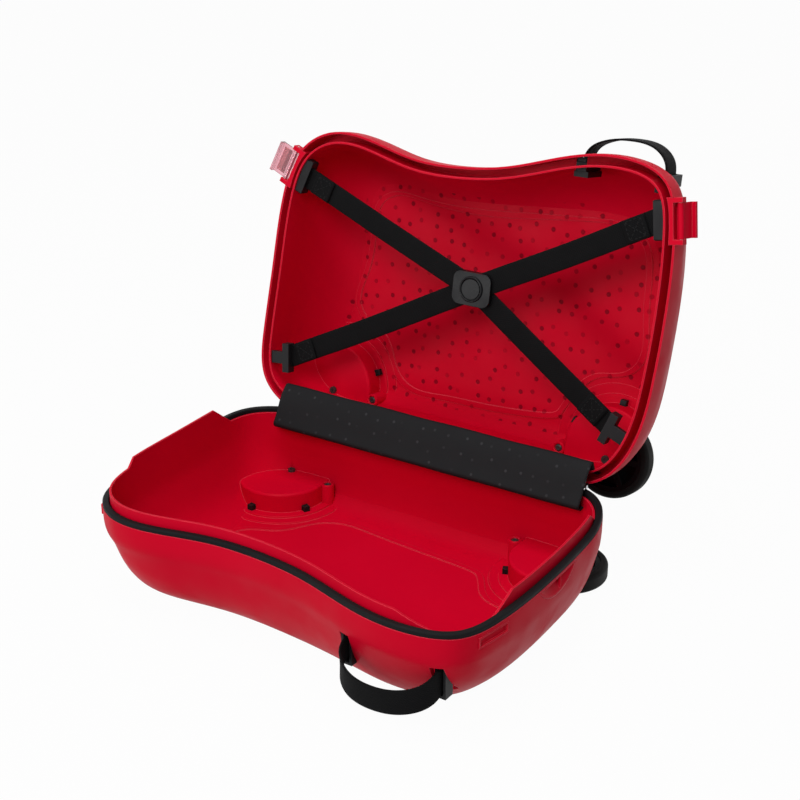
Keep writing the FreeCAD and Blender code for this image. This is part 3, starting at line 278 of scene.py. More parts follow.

# The seal in the base's rim: an extruded EPDM section pressed into the groove with its tongue.
# Matt black rubber, slightly dusty, with a fine grain and a painted highlight along its edges.
GASKET_BLACK = (0.006, 0.006, 0.007, 1)
GASKET_DUST = (0.011, 0.011, 0.011, 1)
# Painted highlight along the gasket's edges.
GASKET_EDGE_HIGHLIGHT = (0.020, 0.019, 0.019, 1)
gasket_rubber = moulded("gasket_rubber", GASKET_BLACK, GASKET_DUST, GASKET_EDGE_HIGHLIGHT, smooth=0.5, rough=0.72,
                        edge=0.0006, shine=0.08, grain_scale=1500.0, grain=0.00008)[0]
dress(gasket_rubber, "rim_gasket")

# Steel parts: the hinge rod and the latch pins, drawn and zinc plated, and the blackened axle screws.
# The pins are headless and held by the mouldings that they pass through.
STEEL_GREY = (0.55, 0.56, 0.58, 1)
STEEL_DULL = (0.36, 0.37, 0.39, 1)
SCREW_BLACK = (0.020, 0.019, 0.019, 1)
# The screws' duller colour is also their edge colour, a painted highlight; the steel's edges are painted its
# paler grey as a highlight.
SCREW_WORN_AND_EDGE_HIGHLIGHT = (0.060, 0.056, 0.054, 1)
METAL_GRAIN = {"edge": 0.0003, "grain_scale": 2200.0, "grain": 0.00003}
steel, _, steel_shader = moulded("plated_steel", STEEL_GREY, STEEL_DULL, STEEL_GREY, smooth=0.22, rough=0.42,
                                 shine=0.5, **METAL_GRAIN)[:3]
steel_shader.inputs["Metallic"].default_value = 1.0
dress(steel, "hinge_pin", "latch_pins")
screw_black = moulded("screw_black", SCREW_BLACK, SCREW_WORN_AND_EDGE_HIGHLIGHT, SCREW_WORN_AND_EDGE_HIGHLIGHT, smooth=0.25, rough=0.45,
                      shine=0.4, **METAL_GRAIN)[0]
dress(screw_black, "base_axle_screws", "lid_axle_screws")

# The posts at the feet of the wheel wells: red, moulded with the shells, each with a blackened screw.
# The screws hold the wheel brackets from the inside and sit in a counterbore.
HALVES = ("base", "lid")
SIDES = ("left", "right")
LID_FACE_DEEP = 104.0
POST_PLACES = {"base": ((-137.0, 18.0), (113.0, 18.0)), "lid": ((-137.0, 13.0), (113.0, 13.0))}
POST_FOOT = 2.2
POST_PROFILE = [(0.0074, 0), (0.0074, 0.0258), (0.0072, 0.0266), (0.0066, 0.0272), (0.0052, 0.0273),
                (0.0048, 0.0270), (0.0047, 0.0250)]
SCREW_PROFILE = [(0.0040, 0.0244), (0.0040, 0.0258), (0.0036, 0.0264), (0.0026, 0.0268), (0.0018, 0.0268),
                 (0.0016, 0.0265), (0.0015, 0.0254)]
SHARP_TURN = math.radians(50)


def new_piece(name, corners, faces, finish, smooth=True):
    """A mesh object from corner points and faces."""
    mesh = bpy.data.meshes.new(name)
    mesh.from_pydata([tuple(c) for c in corners], [], faces)
    mesh.materials.append(finish)
    mesh.polygons.foreach_set("use_smooth", [smooth] * len(mesh.polygons))
    piece = bpy.data.objects.new(name, mesh)
    bpy.context.scene.collection.objects.link(piece)
    return piece


def ring_faces(rings, sides, first=0, hollow=False):
    """The faces between rings of corners; both ends are capped, or the last ring joins the first."""
    faces = []
    for ring in range(rings if hollow else rings - 1):
        here, after = first + ring * sides, first + (ring + 1) % rings * sides
        for k in range(sides):
            b = (k + 1) % sides
            faces.append((here + k, here + b, after + b, after + k))
    if not hollow:
        last = first + (rings - 1) * sides
        faces.append(tuple(range(first + sides - 1, first - 1, -1)))
        faces.append(tuple(range(last, last + sides)))
    return faces


def turned(name, profile, foot, axis, finish, sides=40, hollow=False):
    """A turned piece: (radius, height) points swept round an axis from a foot point, capped or a ring."""
    axis = Vector(axis).normalized()
    first = axis.orthogonal().normalized()
    second = axis.cross(first)
    corners = []
    for radius, height in profile:
        for k in range(sides):
            turn = 2 * math.pi * k / sides
            corners.append(foot + axis * height + (first * math.cos(turn) + second * math.sin(turn)) * radius)
    piece = new_piece(name, corners, ring_faces(len(profile), sides, hollow=hollow), finish)
    piece.data.set_sharp_from_angle(angle=SHARP_TURN)
    return piece


for half, places in POST_PLACES.items():
    for side, (u, v) in zip(SIDES, places):
        foot, up = base_spot(u, v, POST_FOOT), (0, 0, 1)
        if half == "lid":
            foot, up = lid_spot(u, v, LID_FACE_DEEP - POST_FOOT), -LID_DEPTH_WAY
        post = turned(f"{half}_{side}_bracket_post", POST_PROFILE, foot, up, red_plastic)
        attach(post, half)
        screw = turned(f"{half}_{side}_bracket_screw", SCREW_PROFILE, foot, up, screw_black)
        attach(screw, half)

# Wheel brackets, axles, cover rails, strap anchors and grommets: black nylon mouldings.
# They are snapped or screwed to the shells and have a finer grain than the shells, with a painted highlight
# along their edges.
NYLON_BLACK = (0.007, 0.007, 0.008, 1)
NYLON_GREY = (0.011, 0.011, 0.012, 1)
NYLON_EDGE_HIGHLIGHT = (0.030, 0.030, 0.032, 1)
black_nylon = moulded("black_nylon", NYLON_BLACK, NYLON_GREY, NYLON_EDGE_HIGHLIGHT, smooth=0.34, rough=0.52,
                      edge=0.0006, shine=0.15, grain_scale=1300.0, grain=0.00008)[0]
for half in HALVES:
    for side in SIDES:
        dress(black_nylon, f"{half}_{side}_wheel_bracket", f"{half}_{side}_axle")
    dress(black_nylon, f"{half}_strap_grommets", f"{half}_strap_anchors", f"{half}_cover_rail")
dress(black_nylon, "strap_anchor_left", "strap_anchor_right")

# The hooks at the lower strap ends: grey acetal clips over the lip of the lid.
# Slightly paler than the brackets, with a painted highlight along the edges.
HOOK_GREY = (0.009, 0.009, 0.010, 1)
HOOK_PALE = (0.015, 0.015, 0.016, 1)
HOOK_EDGE_HIGHLIGHT = (0.034, 0.034, 0.036, 1)
hook_grey = moulded("hook_grey", HOOK_GREY, HOOK_PALE, HOOK_EDGE_HIGHLIGHT, smooth=0.30, rough=0.46,
                    edge=0.0008, shine=0.15, grain_scale=1300.0)[0]
dress(hook_grey, "strap_hook_left", "strap_hook_right")

# Wheels: a spoked black rim with a snapped hub cap, and a tyre of black thermoplastic rubber on it.
# The tyre is matt and scuffed, the rim has a satin moulded face; both have a painted highlight along their
# edges.
WHEEL_BLACK = (0.006, 0.006, 0.007, 1)
TYRE_BLACK = (0.008, 0.008, 0.008, 1)
TYRE_SCUFF_AND_EDGE_HIGHLIGHT = (0.020, 0.019, 0.019, 1)
wheel_black = moulded("wheel_black", WHEEL_BLACK, NYLON_GREY, NYLON_EDGE_HIGHLIGHT, smooth=0.28, rough=0.44,
                      edge=0.0006, shine=0.15)[0]
tyre_rubber = moulded("tyre_rubber", TYRE_BLACK, TYRE_SCUFF_AND_EDGE_HIGHLIGHT, TYRE_SCUFF_AND_EDGE_HIGHLIGHT, smooth=0.55, rough=0.80,
                      edge=0.0005, shine=0.1, grain_scale=700.0, grain=0.00012)[0]
for half in HALVES:
    for side in SIDES:
        dress(wheel_black, f"{half}_{side}_wheel_rim", f"{half}_{side}_hub_cap")
        dress(tyre_rubber, f"{half}_{side}_tyre")

# Latch levers, hinged on a pin in the lid's rim and hooked into the base: the left one clear pink
# polycarbonate, the right one red like the shell. A plain dusky card slides into each lever's pocket;
# the left card has a pale strip along its outer edge.
LEVER_PINK = (0.86, 0.44, 0.50, 1)
LEVER_DEEP = (0.80, 0.35, 0.42, 1)
# Painted shade: the clear lever's edges are painted a darker pink.
LEVER_EDGE_SHADE = (0.52, 0.14, 0.19, 1)
LEVER_CLEAR = 0.9
LEVER_IOR = 1.58
CARD_BEIGE = (0.74, 0.70, 0.62, 1)
CARD_PALE = (0.88, 0.85, 0.79, 1)
CARD_DUSK = (0.30, 0.11, 0.12, 1)
CARD_MIDDLE = Vector((-0.2369, 0.2222, 0.3852))
CARD_OUT_WAY = Vector((-0.921, 0.061, 0.385))
CARD_STRIP_FROM = (-0.0012, -0.0004)
clear_pink, _, clear_shader = moulded(
    "clear_pink", LEVER_PINK, LEVER_DEEP, LEVER_EDGE_SHADE, smooth=0.06, rough=0.16,
    edge=0.0005, shine=0.5, grain_scale=600.0, grain=0.00001)[:3]
clear_shader.inputs["Transmission Weight"].default_value = LEVER_CLEAR
clear_shader.inputs["IOR"].default_value = LEVER_IOR
dress(clear_pink, "left_latch_lever")
dress(red_plastic, "right_latch_lever")
# The card's edges are painted its pale colour as a highlight.
tag_card, card_tree, card_shader, card_ground = moulded(
    "tag_card", CARD_BEIGE, CARD_PALE, CARD_PALE, smooth=0.6, rough=0.8,
    edge=0.0002, shine=0.2, grain_scale=1800.0, grain=0.00005)[:4]
card_out = measured_along(card_tree, measured_from(card_tree, CARD_MIDDLE), CARD_OUT_WAY)
card_strip = ramped(card_tree, card_out, *CARD_STRIP_FROM)
feed(card_tree, card_shader, {"Base Color": mixed(card_tree, card_strip, CARD_DUSK, card_ground)})
dress(tag_card, "left_tag_card", "right_tag_card")

# The centre buckle of the packing straps: glossy black nylon with a sprung round button.
# A raised ring is moulded round the button; the edges have a painted highlight.
BUCKLE_BLACK = (0.005, 0.005, 0.006, 1)
BUCKLE_RING_FOOT = lid_spot(24.0, 183.0, 3.05)
BUCKLE_RING_SIDES = 64
BUCKLE_RING_PROFILE = [(0.0117, 0), (0.0117, 0.0012), (0.0121, 0.0018), (0.0128, 0.0020), (0.0136, 0.0018),
                       (0.0141, 0.0011), (0.0142, 0)]
buckle_black = moulded("buckle_black", BUCKLE_BLACK, NYLON_BLACK, NYLON_EDGE_HIGHLIGHT, smooth=0.24, rough=0.36,
                       edge=0.0010, shine=0.12)[0]
dress(buckle_black, "buckle_body", "buckle_button")
buckle_ring = turned("buckle_ring", BUCKLE_RING_PROFILE, BUCKLE_RING_FOOT, -LID_DEPTH_WAY, buckle_black,
                     BUCKLE_RING_SIDES, hollow=True)
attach(buckle_ring, "lid")

# Packing straps and carry loops: black polypropylene webbing, woven flat with rounded selvedges.
# The packing straps' ends are turned back and box stitched; the carry loops pass through framed slots,
# which rubber lips close round the webbing and, in the lid, a nylon flange edges at the front.
WEB_WIDE = 0.025
WEB_DARK = (0.003, 0.003, 0.0033, 1)
# Painted highlight: the paler colour on the raised threads.
WEB_THREAD_HIGHLIGHT = (0.0075, 0.0075, 0.008, 1)
WEB_SECTION = [(-0.5, 0.0), (-0.488, 0.30), (-0.455, 0.47), (-0.3, 0.5), (-0.1, 0.5), (0.1, 0.5), (0.3, 0.5),
               (0.455, 0.47), (0.488, 0.30), (0.5, 0.0), (0.488, -0.30), (0.455, -0.47), (0.3, -0.5),
               (0.1, -0.5), (-0.1, -0.5), (-0.3, -0.5), (-0.455, -0.47), (-0.488, -0.30)]
OVER_SHARE = 0.3
RIB_SHARE = 0.35
FUZZ_SHARE = 0.4
FUZZ_SCALE = 3000.0
HIGHLIGHT_PATCH_SCALE = 45.0
HIGHLIGHT_PATCH_RANGE = (0.2, 0.8, 0.5, 1.0)
LIT_RANGE = (-0.3, 0.8)


def weave_marks():
    """A flat weave from a band's own lengthwise and crosswise measures; its raised threads get a painted
    highlight in slow patches.
    """
    tree, given, out = shader_group("weave_marks", [
        ("Colour", "Color", (0.5, 0.5, 0.5, 1)), ("Thread Highlight Colour", "Color", (0.6, 0.6, 0.6, 1)),
        ("Warp", "Float", 0.0014), ("Weft", "Float", 0.0022)], [("Colour", "Color"), ("Height", "Float")])
    run = add(tree, "UVMap", uv_map="weave").outputs[0]
    lengthwise, crosswise, _ = add(tree, "SeparateXYZ", {0: run}).outputs
    weft = maths(tree, "MULTIPLY", maths(tree, "DIVIDE", lengthwise, given["Weft"]), 2 * math.pi)
    warp = maths(tree, "MULTIPLY", maths(tree, "DIVIDE", crosswise, given["Warp"]), 2 * math.pi)
    over = maths(tree, "SINE", maths(tree, "ADD", weft, maths(tree, "MULTIPLY", warp, 0.5)))
    ribs = maths(tree, "MULTIPLY", maths(tree, "COSINE", warp), RIB_SHARE)
    threads = maths(tree, "ADD", maths(tree, "MULTIPLY", over, OVER_SHARE), ribs)
    fuzz = maths(tree, "MULTIPLY", noise(tree, run, FUZZ_SCALE, detail=2.0), FUZZ_SHARE)
    height = maths(tree, "ADD", threads, fuzz)
    # Painted highlight on the raised threads, stronger in slow patches.
    highlight_patches = ramped(tree, noise(tree, run, HIGHLIGHT_PATCH_SCALE, detail=3.0), *HIGHLIGHT_PATCH_RANGE)
    lit = maths(tree, "MULTIPLY", ramped(tree, height, *LIT_RANGE), highlight_patches)
    feed(tree, out, {"Colour": mixed(tree, lit, given["Colour"], given["Thread Highlight Colour"]), "Height": height})
    return tree


WEAVE_MARKS = weave_marks()


def woven(name, colour, thread, warp, weft, depth, strength, rough, shine):
    """A woven cloth: the weave drives relief and colour, a painted highlight on its raised threads."""
    finish, tree, shader = new_finish(name)
    marks = grouped(tree, WEAVE_MARKS, {"Colour": colour, "Thread Highlight Colour": thread,
                                        "Warp": warp, "Weft": weft})
    bump = add(tree, "Bump", {"Distance": depth, "Strength": strength, "Height": marks["Height"]}).outputs[0]
    feed(tree, shader, {"Base Color": marks["Colour"], "Normal": bump, "Roughness": rough,
                        "Specular IOR Level": shine})
    return finish, tree, shader, marks["Colour"]


webbing_black, web_tree, web_shader = woven("webbing_black", WEB_DARK, WEB_THREAD_HIGHLIGHT, warp=0.0016, weft=0.0026,
                                            depth=0.00025, strength=0.9, rough=0.66, shine=0.05)[:3]
feed(web_tree, web_shader, {"Sheen Weight": 0.01, "Sheen Roughness": 0.4})
FINE_STEPS = 600


def run_along(line):
    """The distance along a line at each of its points."""
    return np.concatenate([[0], np.cumsum(np.linalg.norm(np.diff(line, axis=0), axis=1))])


def smooth_line(points, spacing):
    """Points at an even spacing on a natural cubic curve through the given ones."""
    knots = np.array([tuple(p) for p in points], float)
    at = run_along(knots)
    steps = np.diff(at)
    count = len(at)
    rows = np.zeros((count, count))
    right = np.zeros((count, knots.shape[1]))
    rows[0, 0] = rows[-1, -1] = 1
    for i in range(1, count - 1):
        rows[i, i - 1:i + 2] = steps[i - 1], 2 * (steps[i - 1] + steps[i]), steps[i]
        right[i] = 6 * ((knots[i + 1] - knots[i]) / steps[i] - (knots[i] - knots[i - 1]) / steps[i - 1])
    bend = np.linalg.solve(rows, right)

    def value(t):
        i = np.clip(np.searchsorted(at, t, side="right") - 1, 0, count - 2)
        h, a, b = steps[i][:, None], (at[i + 1] - t)[:, None], (t - at[i])[:, None]
        return ((bend[i] * a ** 3 + bend[i + 1] * b ** 3) / (6 * h) + (knots[i] / h - bend[i] * h / 6) * a
                + (knots[i + 1] / h - bend[i + 1] * h / 6) * b)

    fine = value(np.linspace(0, at[-1], FINE_STEPS))
    run = run_along(fine)
    wanted = np.linspace(0, run[-1], max(3, int(run[-1] / spacing) + 1))
    return np.stack([np.interp(wanted, run, fine[:, k]) for k in range(knots.shape[1])], axis=1)


def straight_line(middle, way, reach):
    """Nine points on a straight line that reaches equally far to both sides of its middle."""
    return [middle + way * (reach * (k / 4 - 1)) for k in range(9)]


def line_ways(line):
    """The unit direction of a line at each of its points."""
    ways = np.gradient(line, axis=0)
    return ways / np.linalg.norm(ways, axis=1)[:, None]


def lay_weave(piece, measures):
    """Stores the lengthwise and crosswise measure of each corner, which the weave follows."""
    weave = piece.data.uv_layers.new(name="weave")
    for loop in piece.data.loops:
        weave.data[loop.index].uv = measures[loop.vertex_index]


def band(name, line, across, wide, thick, finish):
    """A woven band along a line; across is the way of its width at each point."""
    line = np.array(line, float)
    ways = line_ways(line)
    across = np.broadcast_to(np.array(across, float), line.shape)
    across = across - ways * np.sum(across * ways, axis=1)[:, None]
    across = across / np.linalg.norm(across, axis=1)[:, None]
    over = np.cross(ways, across)
    corners, measures = [], []
    for spot, side, up, along in zip(line, across, over, run_along(line)):
        for wide_share, thick_share in WEB_SECTION:
            corners.append(spot + side * wide * wide_share + up * thick * thick_share)
            measures.append((along, wide * wide_share))
    piece = new_piece(name, corners, ring_faces(len(line), len(WEB_SECTION)), finish)
    lay_weave(piece, measures)
    return piece


STITCH_LONG = 0.0030
STITCH_GAP = 0.0011
STITCH_R = 0.00042
STITCH_FLAT = 1.2
STITCH_SIDES = 6
STITCH_RINGS = [(-0.5, 0.35), (-0.3, 0.9), (0.3, 0.9), (0.5, 0.35)]
THREAD_BLACK = (0.006, 0.006, 0.0065, 1)
THREAD_PALE = (0.012, 0.012, 0.013, 1)
# The pale thread colour is also painted on the stitches' edges as a highlight.
thread_black = moulded("thread_black", THREAD_BLACK, THREAD_PALE, THREAD_PALE, smooth=0.5, rough=0.7,
                       edge=0.0001, shine=0.15, grain_scale=4000.0, grain=0.0001)[0]


def stitch_row(name, runs, finish):
    """Rows of thread stitches, each a small bead drawn out along its run."""
    corners, faces = [], []
    for start, end, up in runs:
        start, end, up = Vector(start), Vector(end), Vector(up).normalized()
        way = (end - start).normalized()
        side = way.cross(up)
        count = max(1, int((end - start).length / (STITCH_LONG + STITCH_GAP)))
        for k in range(count):
            middle = start + (end - start) * ((k + 0.5) / count)
            faces += ring_faces(len(STITCH_RINGS), STITCH_SIDES, first=len(corners))
            for share, fat in STITCH_RINGS:
                for corner in range(STITCH_SIDES):
                    turn = 2 * math.pi * corner / STITCH_SIDES
                    swing = side * math.cos(turn) * STITCH_FLAT + up * math.sin(turn)
                    corners.append(middle + way * STITCH_LONG * share + swing * STITCH_R * fat)
    return new_piece(name, corners, faces, finish)


CROSS_THICK = 0.0018
CROSS_LEGS = {
    "upper_left": ((10.95, 188.07), (-206.8, 272.6), 7.9),
    "upper_right": ((36.45, 189.4), (225.84, 286.81), 7.9),
    "lower_left": ((11.56, 176.58), (-215.54, 59.4), 10.2),
    "lower_right": ((35.76, 175.41), (201.3, 68.52), 10.2),
}
CROSS_STEPS = 60
CROSS_SAG = 0.0016
CROSS_DROP = 0.0012
TURN_BACK = 0.026
TURN_BACK_FROM_END = 0.014
TURN_BACK_WIDE = WEB_WIDE * 0.985
TURN_BACK_LIFT = CROSS_THICK * 1.02
STITCH_LIFT = CROSS_THICK * 1.53
STITCH_FROM_MIDDLE = WEB_WIDE * 0.38
STITCH_PAST_END = 0.004
for leg, (inner, outer, deep) in CROSS_LEGS.items():
    start, end = lid_spot(*inner, deep), lid_spot(*outer, deep)
    way = (end - start).normalized()
    across = LID_DEPTH_WAY.cross(way)
    line = []
    for k in range(CROSS_STEPS + 1):
        share = k / CROSS_STEPS
        hang = math.sin(math.pi * share) ** 2
        line.append(start + (end - start) * share + LID_DEPTH_WAY * (CROSS_SAG * hang)
                    - LID_UP_WAY * (CROSS_DROP * hang))
    strap = band(f"cross_strap_{leg}_webbing", line, across, WEB_WIDE, CROSS_THICK, webbing_black)
    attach(strap, "lid")
    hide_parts("cross_strap_" + leg)
    seam_from, seam_to = end - way * TURN_BACK_FROM_END, end - way * (TURN_BACK_FROM_END + TURN_BACK)
    fold = straight_line((seam_from + seam_to) / 2 - LID_DEPTH_WAY * TURN_BACK_LIFT, -way, TURN_BACK / 2)
    turn_back = band(f"cross_strap_{leg}_turn_back", fold, across, TURN_BACK_WIDE, CROSS_THICK, webbing_black)
    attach(turn_back, "lid")
    top = -LID_DEPTH_WAY * STITCH_LIFT
    aside = across * STITCH_FROM_MIDDLE
    near, far = seam_from - way * STITCH_PAST_END + top, seam_to + way * STITCH_PAST_END + top
    box = [(near - aside, near + aside), (near + aside, far + aside), (far + aside, far - aside),
           (far - aside, near - aside), (near - aside, far + aside), (near + aside, far - aside)]
    seam_runs = [(a, b, -LID_DEPTH_WAY) for a, b in box]
    seam = stitch_row(f"cross_strap_{leg}_stitches", seam_runs, thread_black)
    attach(seam, "lid")

LOOP_THICK = 0.0022
LOOP_STEP = 0.0022
LOOP_END = -14
LOOP_NECK = -7
LOOP_MOUTH = 4
BASE_SLOT_UP = 52
BASE_LOOP_OUT = 29
BASE_LOOP_DROP = 18
BASE_LOOP_ENDS = ((112.05, 324.5), (212.15, 323.56))
BASE_LOOP_SHARES = [(0, 0), (0.02, 0.30), (0.16, 0.78), (0.48, 1), (0.80, 0.80), (0.97, 0.32), (1, 0)]
LID_SLOT_DEEP = 41
LID_LOOP_OUT = 25
LID_LOOP_ENDS = ((125.99, 331.09), (216.13, 326.65))
LID_LOOP_SHARES = [(0, 0), (0.03, 0.28), (0.20, 0.74), (0.56, 1), (0.85, 0.84), (0.98, 0.36), (1, 0)]


def loop_route(ends, shares, out):
    """A carry loop's route as (along, out from the slots, share of its reach), in millimetres."""
    (u_a, v_a), (u_b, v_b) = ends
    route = [(u_a, v_a + LOOP_END, 0), (u_a, v_a + LOOP_NECK, 0)]
    for share, reach in shares:
        route.append((u_a + (u_b - u_a) * share, v_a + (v_b - v_a) * share + LOOP_MOUTH + out * reach, reach))
    return route + [(u_b, v_b + LOOP_NECK, 0), (u_b, v_b + LOOP_END, 0)]


base_route = loop_route(BASE_LOOP_ENDS, BASE_LOOP_SHARES, BASE_LOOP_OUT)
base_loop = [base_spot(u, v, BASE_SLOT_UP - BASE_LOOP_DROP * reach) for u, v, reach in base_route]
base_line = smooth_line(base_loop, LOOP_STEP)
base_strap = band("base_hand_strap_webbing", base_line, (0, 0, 1), WEB_WIDE, LOOP_THICK, webbing_black)
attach(base_strap, "base")
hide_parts("base_hand_strap")
lid_route = loop_route(LID_LOOP_ENDS, LID_LOOP_SHARES, LID_LOOP_OUT)
lid_loop = [lid_spot(u, v, LID_SLOT_DEEP) for u, v, _ in lid_route]
lid_line = smooth_line(lid_loop, LOOP_STEP)
lid_strap = band("lid_hand_strap_webbing", lid_line, LID_DEPTH_WAY, WEB_WIDE, LOOP_THICK, webbing_black)
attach(lid_strap, "lid")
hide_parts("lid_hand_strap")

LIP_WIDE = 0.0062
LIP_REACH = 0.0143
LIP_THICK = 0.0014
LIP_IN = 4.0
for half, ends in (("base", BASE_LOOP_ENDS), ("lid", LID_LOOP_ENDS)):
    for side, (u, v) in zip(SIDES, ends):
        middle, deep_way = base_spot(u, v - LIP_IN, BASE_SLOT_UP), Vector((0, 0, 1))
        if half == "lid":
            middle, deep_way = lid_spot(u, v - LIP_IN, LID_SLOT_DEEP), LID_DEPTH_WAY
        lip_line = straight_line(middle, deep_way, LIP_REACH)
        lip = band(f"{half}_{side}_slot_lip", lip_line, (1, 0, 0), LIP_WIDE, LIP_THICK, gasket_rubber)
        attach(lip, half)

FLANGE_WIDE = 0.0054
FLANGE_THICK = 0.0024
FLANGE_REACH = 0.0057
FLANGE_UP = 1.4
FLANGE_DEEP = LID_SLOT_DEEP - 16.0
for side, (u, v) in zip(SIDES, LID_LOOP_ENDS):
    flange_line = straight_line(lid_spot(u, v + FLANGE_UP, FLANGE_DEEP), Vector((1, 0, 0)), FLANGE_REACH)
    flange = band(f"lid_{side}_slot_flange", flange_line, LID_UP_WAY, FLANGE_WIDE, FLANGE_THICK, black_nylon)
    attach(flange, "lid")

# The hinge cover: a charcoal coated fabric strip with a faint printed dot, fixed to a rail on each half.
# On the case it rolls over the hinge and bends with the lid, so that fingers and clothes stay clear of the
# knuckles; here it is one fixed sheet in its open shape.
COVER_LEFT = -203.0
COVER_RIGHT = 193.0
COVER_THICK = 0.0013
COVER_GREY = (0.009, 0.009, 0.010, 1)
# Painted highlight on the cover's raised threads.
COVER_THREAD_HIGHLIGHT = (0.013, 0.013, 0.014, 1)
COVER_DOT = (0.034, 0.034, 0.037, 1)
COVER_DOT_PITCH = 0.0185
COVER_ROUTE = [(191.2, 115.46), (188.98, 115.81), (186.75, 116.16), (174.5, 129.5), (171.0, 135.3),
               (167.0, 133.0), (145.0, 98.5), (143.0, 94.0), (146.0, 90.5), (154.0, 90.0), (159.5, 88.5),
               (161.5, 84.0)]
COVER_STEP = 0.002
COVER_COLUMNS = 100
COVER_WAVE = 0.0005
COVER_WAVE_PHASE = 23.0
cover_finish, cover_tree, cover_shader, cover_ground = woven(
    "cover_fabric", COVER_GREY, COVER_THREAD_HIGHLIGHT, warp=0.0011, weft=0.0011,
    depth=0.00008, strength=0.6, rough=0.58, shine=0.08)
cover_place = add(cover_tree, "UVMap", uv_map="weave").outputs[0]
cover_dots = grouped(cover_tree, SCATTERED_DOTS, {
    "Place": cover_place, "Cells": 1 / COVER_DOT_PITCH, "Scatter": 0.6, "Chance Low": 0.1, "Chance High": 0.9,
    "Faint": 0.15, "Full": 0.9, "Inner": 0.05, "Outer": 0.11})["Mask"]
feed(cover_tree, cover_shader, {"Base Color": mixed(cover_tree, cover_dots, cover_ground, COVER_DOT)})
cover_line = smooth_line([(0, y * MM, z * MM) for y, z in COVER_ROUTE], COVER_STEP)
cover_over = np.cross(line_ways(cover_line), np.array((1.0, 0, 0)))
cover_run_at = run_along(cover_line)
columns, rows = COVER_COLUMNS + 1, len(cover_line)
corners, measures, faces = [], [], []
for face in (0.5, -0.5):
    for row, (spot, up) in enumerate(zip(cover_line, cover_over)):
        for column in range(columns):
            share = column / COVER_COLUMNS
            u = (COVER_LEFT + (COVER_RIGHT - COVER_LEFT) * share) * MM
            wave = COVER_WAVE * math.sin(share * COVER_WAVE_PHASE) * math.sin(math.pi * row / (rows - 1)) ** 2
            _, y, z = spot + up * (COVER_THICK * face + wave)
            corners.append((u, y, z))
            measures.append((u, cover_run_at[row]))
back = columns * rows
for row in range(rows - 1):
    for column in range(COVER_COLUMNS):
        a = row * columns + column
        faces.append((a, a + 1, a + 1 + columns, a + columns))
        faces.append((back + a, back + a + columns, back + a + 1 + columns, back + a + 1))
    left, right = row * columns, row * columns + COVER_COLUMNS
    faces.append((left, left + columns, back + left + columns, back + left))
    faces.append((right + columns, right, back + right, back + right + columns))
for column in range(COVER_COLUMNS):
    last = (rows - 1) * columns + column
    faces.append((column + 1, column, back + column, back + column + 1))
    faces.append((last, last + 1, back + last + 1, back + last))
cover = new_piece("hinge_cover_sheet", corners, faces, cover_finish)
lay_weave(cover, measures)
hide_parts("hinge_cover")
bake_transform(cover)

# The studio: a plain white floor that keeps a faint shadow, with soft boxes at the front right, low at
# the front left and above. The camera stands at the photograph's height, looking down on the open case.
WHITE = (1, 1, 1, 1)
FLOOR_GREY = (0.5, 0.5, 0.5, 1)
FLOOR_REACH = 8
FLOOR_Z = -0.0004
FLOOR_WHITE_SHARE = 0.97
SKY_STRENGTH = 0.24
CAMERA_PLACE = (0.7940, -1.0827, 0.7660)
CAMERA_TURN = math.radians(33.8)
CAMERA_RISE = math.radians(22.2)
CAMERA_LENS = 66.3
CAMERA_SENSOR = 36.0


def seen_rays(tree):
    """One for rays that the camera sees straight, in a gloss or through something clear."""
    path = add(tree, "LightPath").outputs
    onward = maths(tree, "MAXIMUM", path["Is Glossy Ray"], path["Is Transmission Ray"])
    return maths(tree, "MAXIMUM", path["Is Camera Ray"], onward)


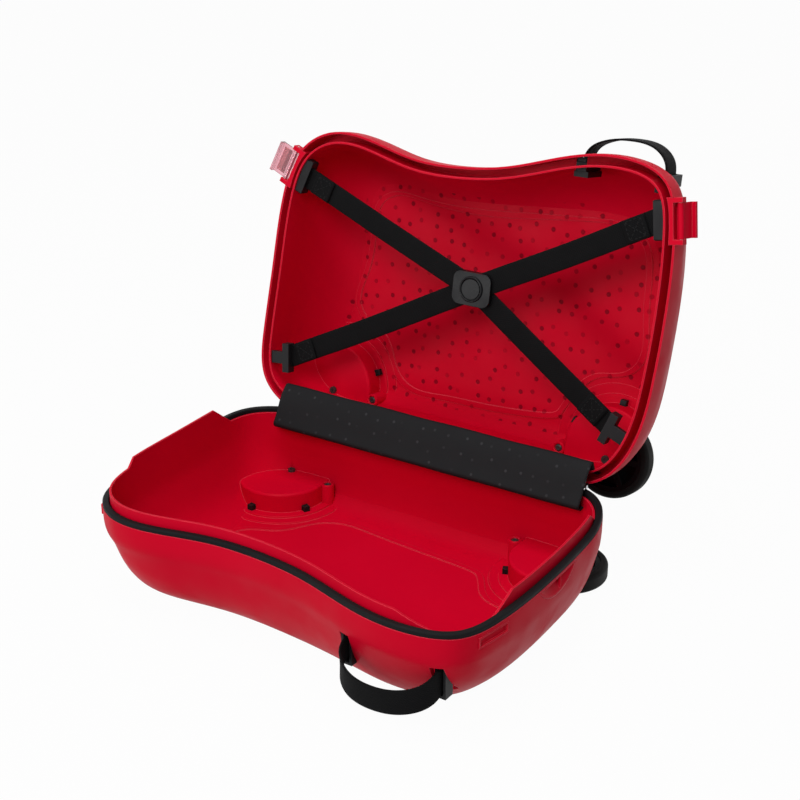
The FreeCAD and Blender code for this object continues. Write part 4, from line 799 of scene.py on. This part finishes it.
floor_finish, floor_tree, floor_shader = new_finish("floor_white")
feed(floor_tree, floor_shader, {"Base Color": FLOOR_GREY, "Roughness": 0.9, "Specular IOR Level": 0.1})
floor_glow = add(floor_tree, "Emission", {"Strength": 1.0, "Color": WHITE})
floor_share = maths(floor_tree, "MULTIPLY", seen_rays(floor_tree), FLOOR_WHITE_SHARE)
floor_mix = add(floor_tree, "MixShader", {0: floor_share, 1: floor_shader.outputs[0],
                                          2: floor_glow.outputs[0]})
feed(floor_tree, floor_tree.nodes["Material Output"], {"Surface": floor_mix.outputs[0]})
floor_corners = [(x * FLOOR_REACH, y * FLOOR_REACH, FLOOR_Z) for x, y in ((-1, -1), (1, -1), (1, 1), (-1, 1))]
floor = new_piece("floor", floor_corners, [(0, 1, 2, 3)], floor_finish, smooth=False)

sky = bpy.data.worlds.new("studio_sky")
bpy.context.scene.world = sky
sky.use_nodes = True
sky_tree = sky.node_tree
sky_light = sky_tree.nodes["Background"]
feed(sky_tree, sky_light, {"Color": WHITE, "Strength": SKY_STRENGTH})
sky_white = add(sky_tree, "Background", {"Color": WHITE, "Strength": 1.0})
sky_mix = add(sky_tree, "MixShader", {0: seen_rays(sky_tree), 1: sky_light.outputs[0],
                                      2: sky_white.outputs[0]})
feed(sky_tree, sky_tree.nodes["World Output"], {"Surface": sky_mix.outputs[0]})


def stand(name, data, place, way):
    """A lamp or a camera that stands at a place and looks a way."""
    holder = bpy.data.objects.new(name, data)
    holder.location = place
    holder.rotation_mode = "QUATERNION"
    holder.rotation_quaternion = way.to_track_quat("-Z", "Y")
    bpy.context.scene.collection.objects.link(holder)
    return holder


def soft_box(name, place, aim, size, watts):
    """A square soft lamp that is aimed at a point of the case."""
    lamp = bpy.data.lights.new(name, "AREA")
    lamp.shape = "SQUARE"
    lamp.size = size
    lamp.energy = watts
    stand(name, lamp, place, Vector(aim) - Vector(place))


soft_box("key_soft_box", place=(0.55, -1.65, 1.6), aim=(0, 0.1, 0.15), size=0.8, watts=22)
soft_box("low_soft_box", place=(-0.95, -1.75, 0.45), aim=(0, 0.1, 0.2), size=0.7, watts=9)
soft_box("top_soft_box", place=(0.0, -0.3, 2.3), aim=(0, 0.1, 0.1), size=1.0, watts=22)

camera_data = bpy.data.cameras.new("camera")
camera_data.sensor_width = CAMERA_SENSOR
camera_data.lens = CAMERA_LENS
camera_way = Vector((-math.sin(CAMERA_TURN) * math.cos(CAMERA_RISE),
                     math.cos(CAMERA_TURN) * math.cos(CAMERA_RISE),
                     -math.sin(CAMERA_RISE)))
bpy.context.scene.camera = stand("camera", camera_data, CAMERA_PLACE, camera_way)
bpy.context.scene.view_settings.view_transform = "Standard"
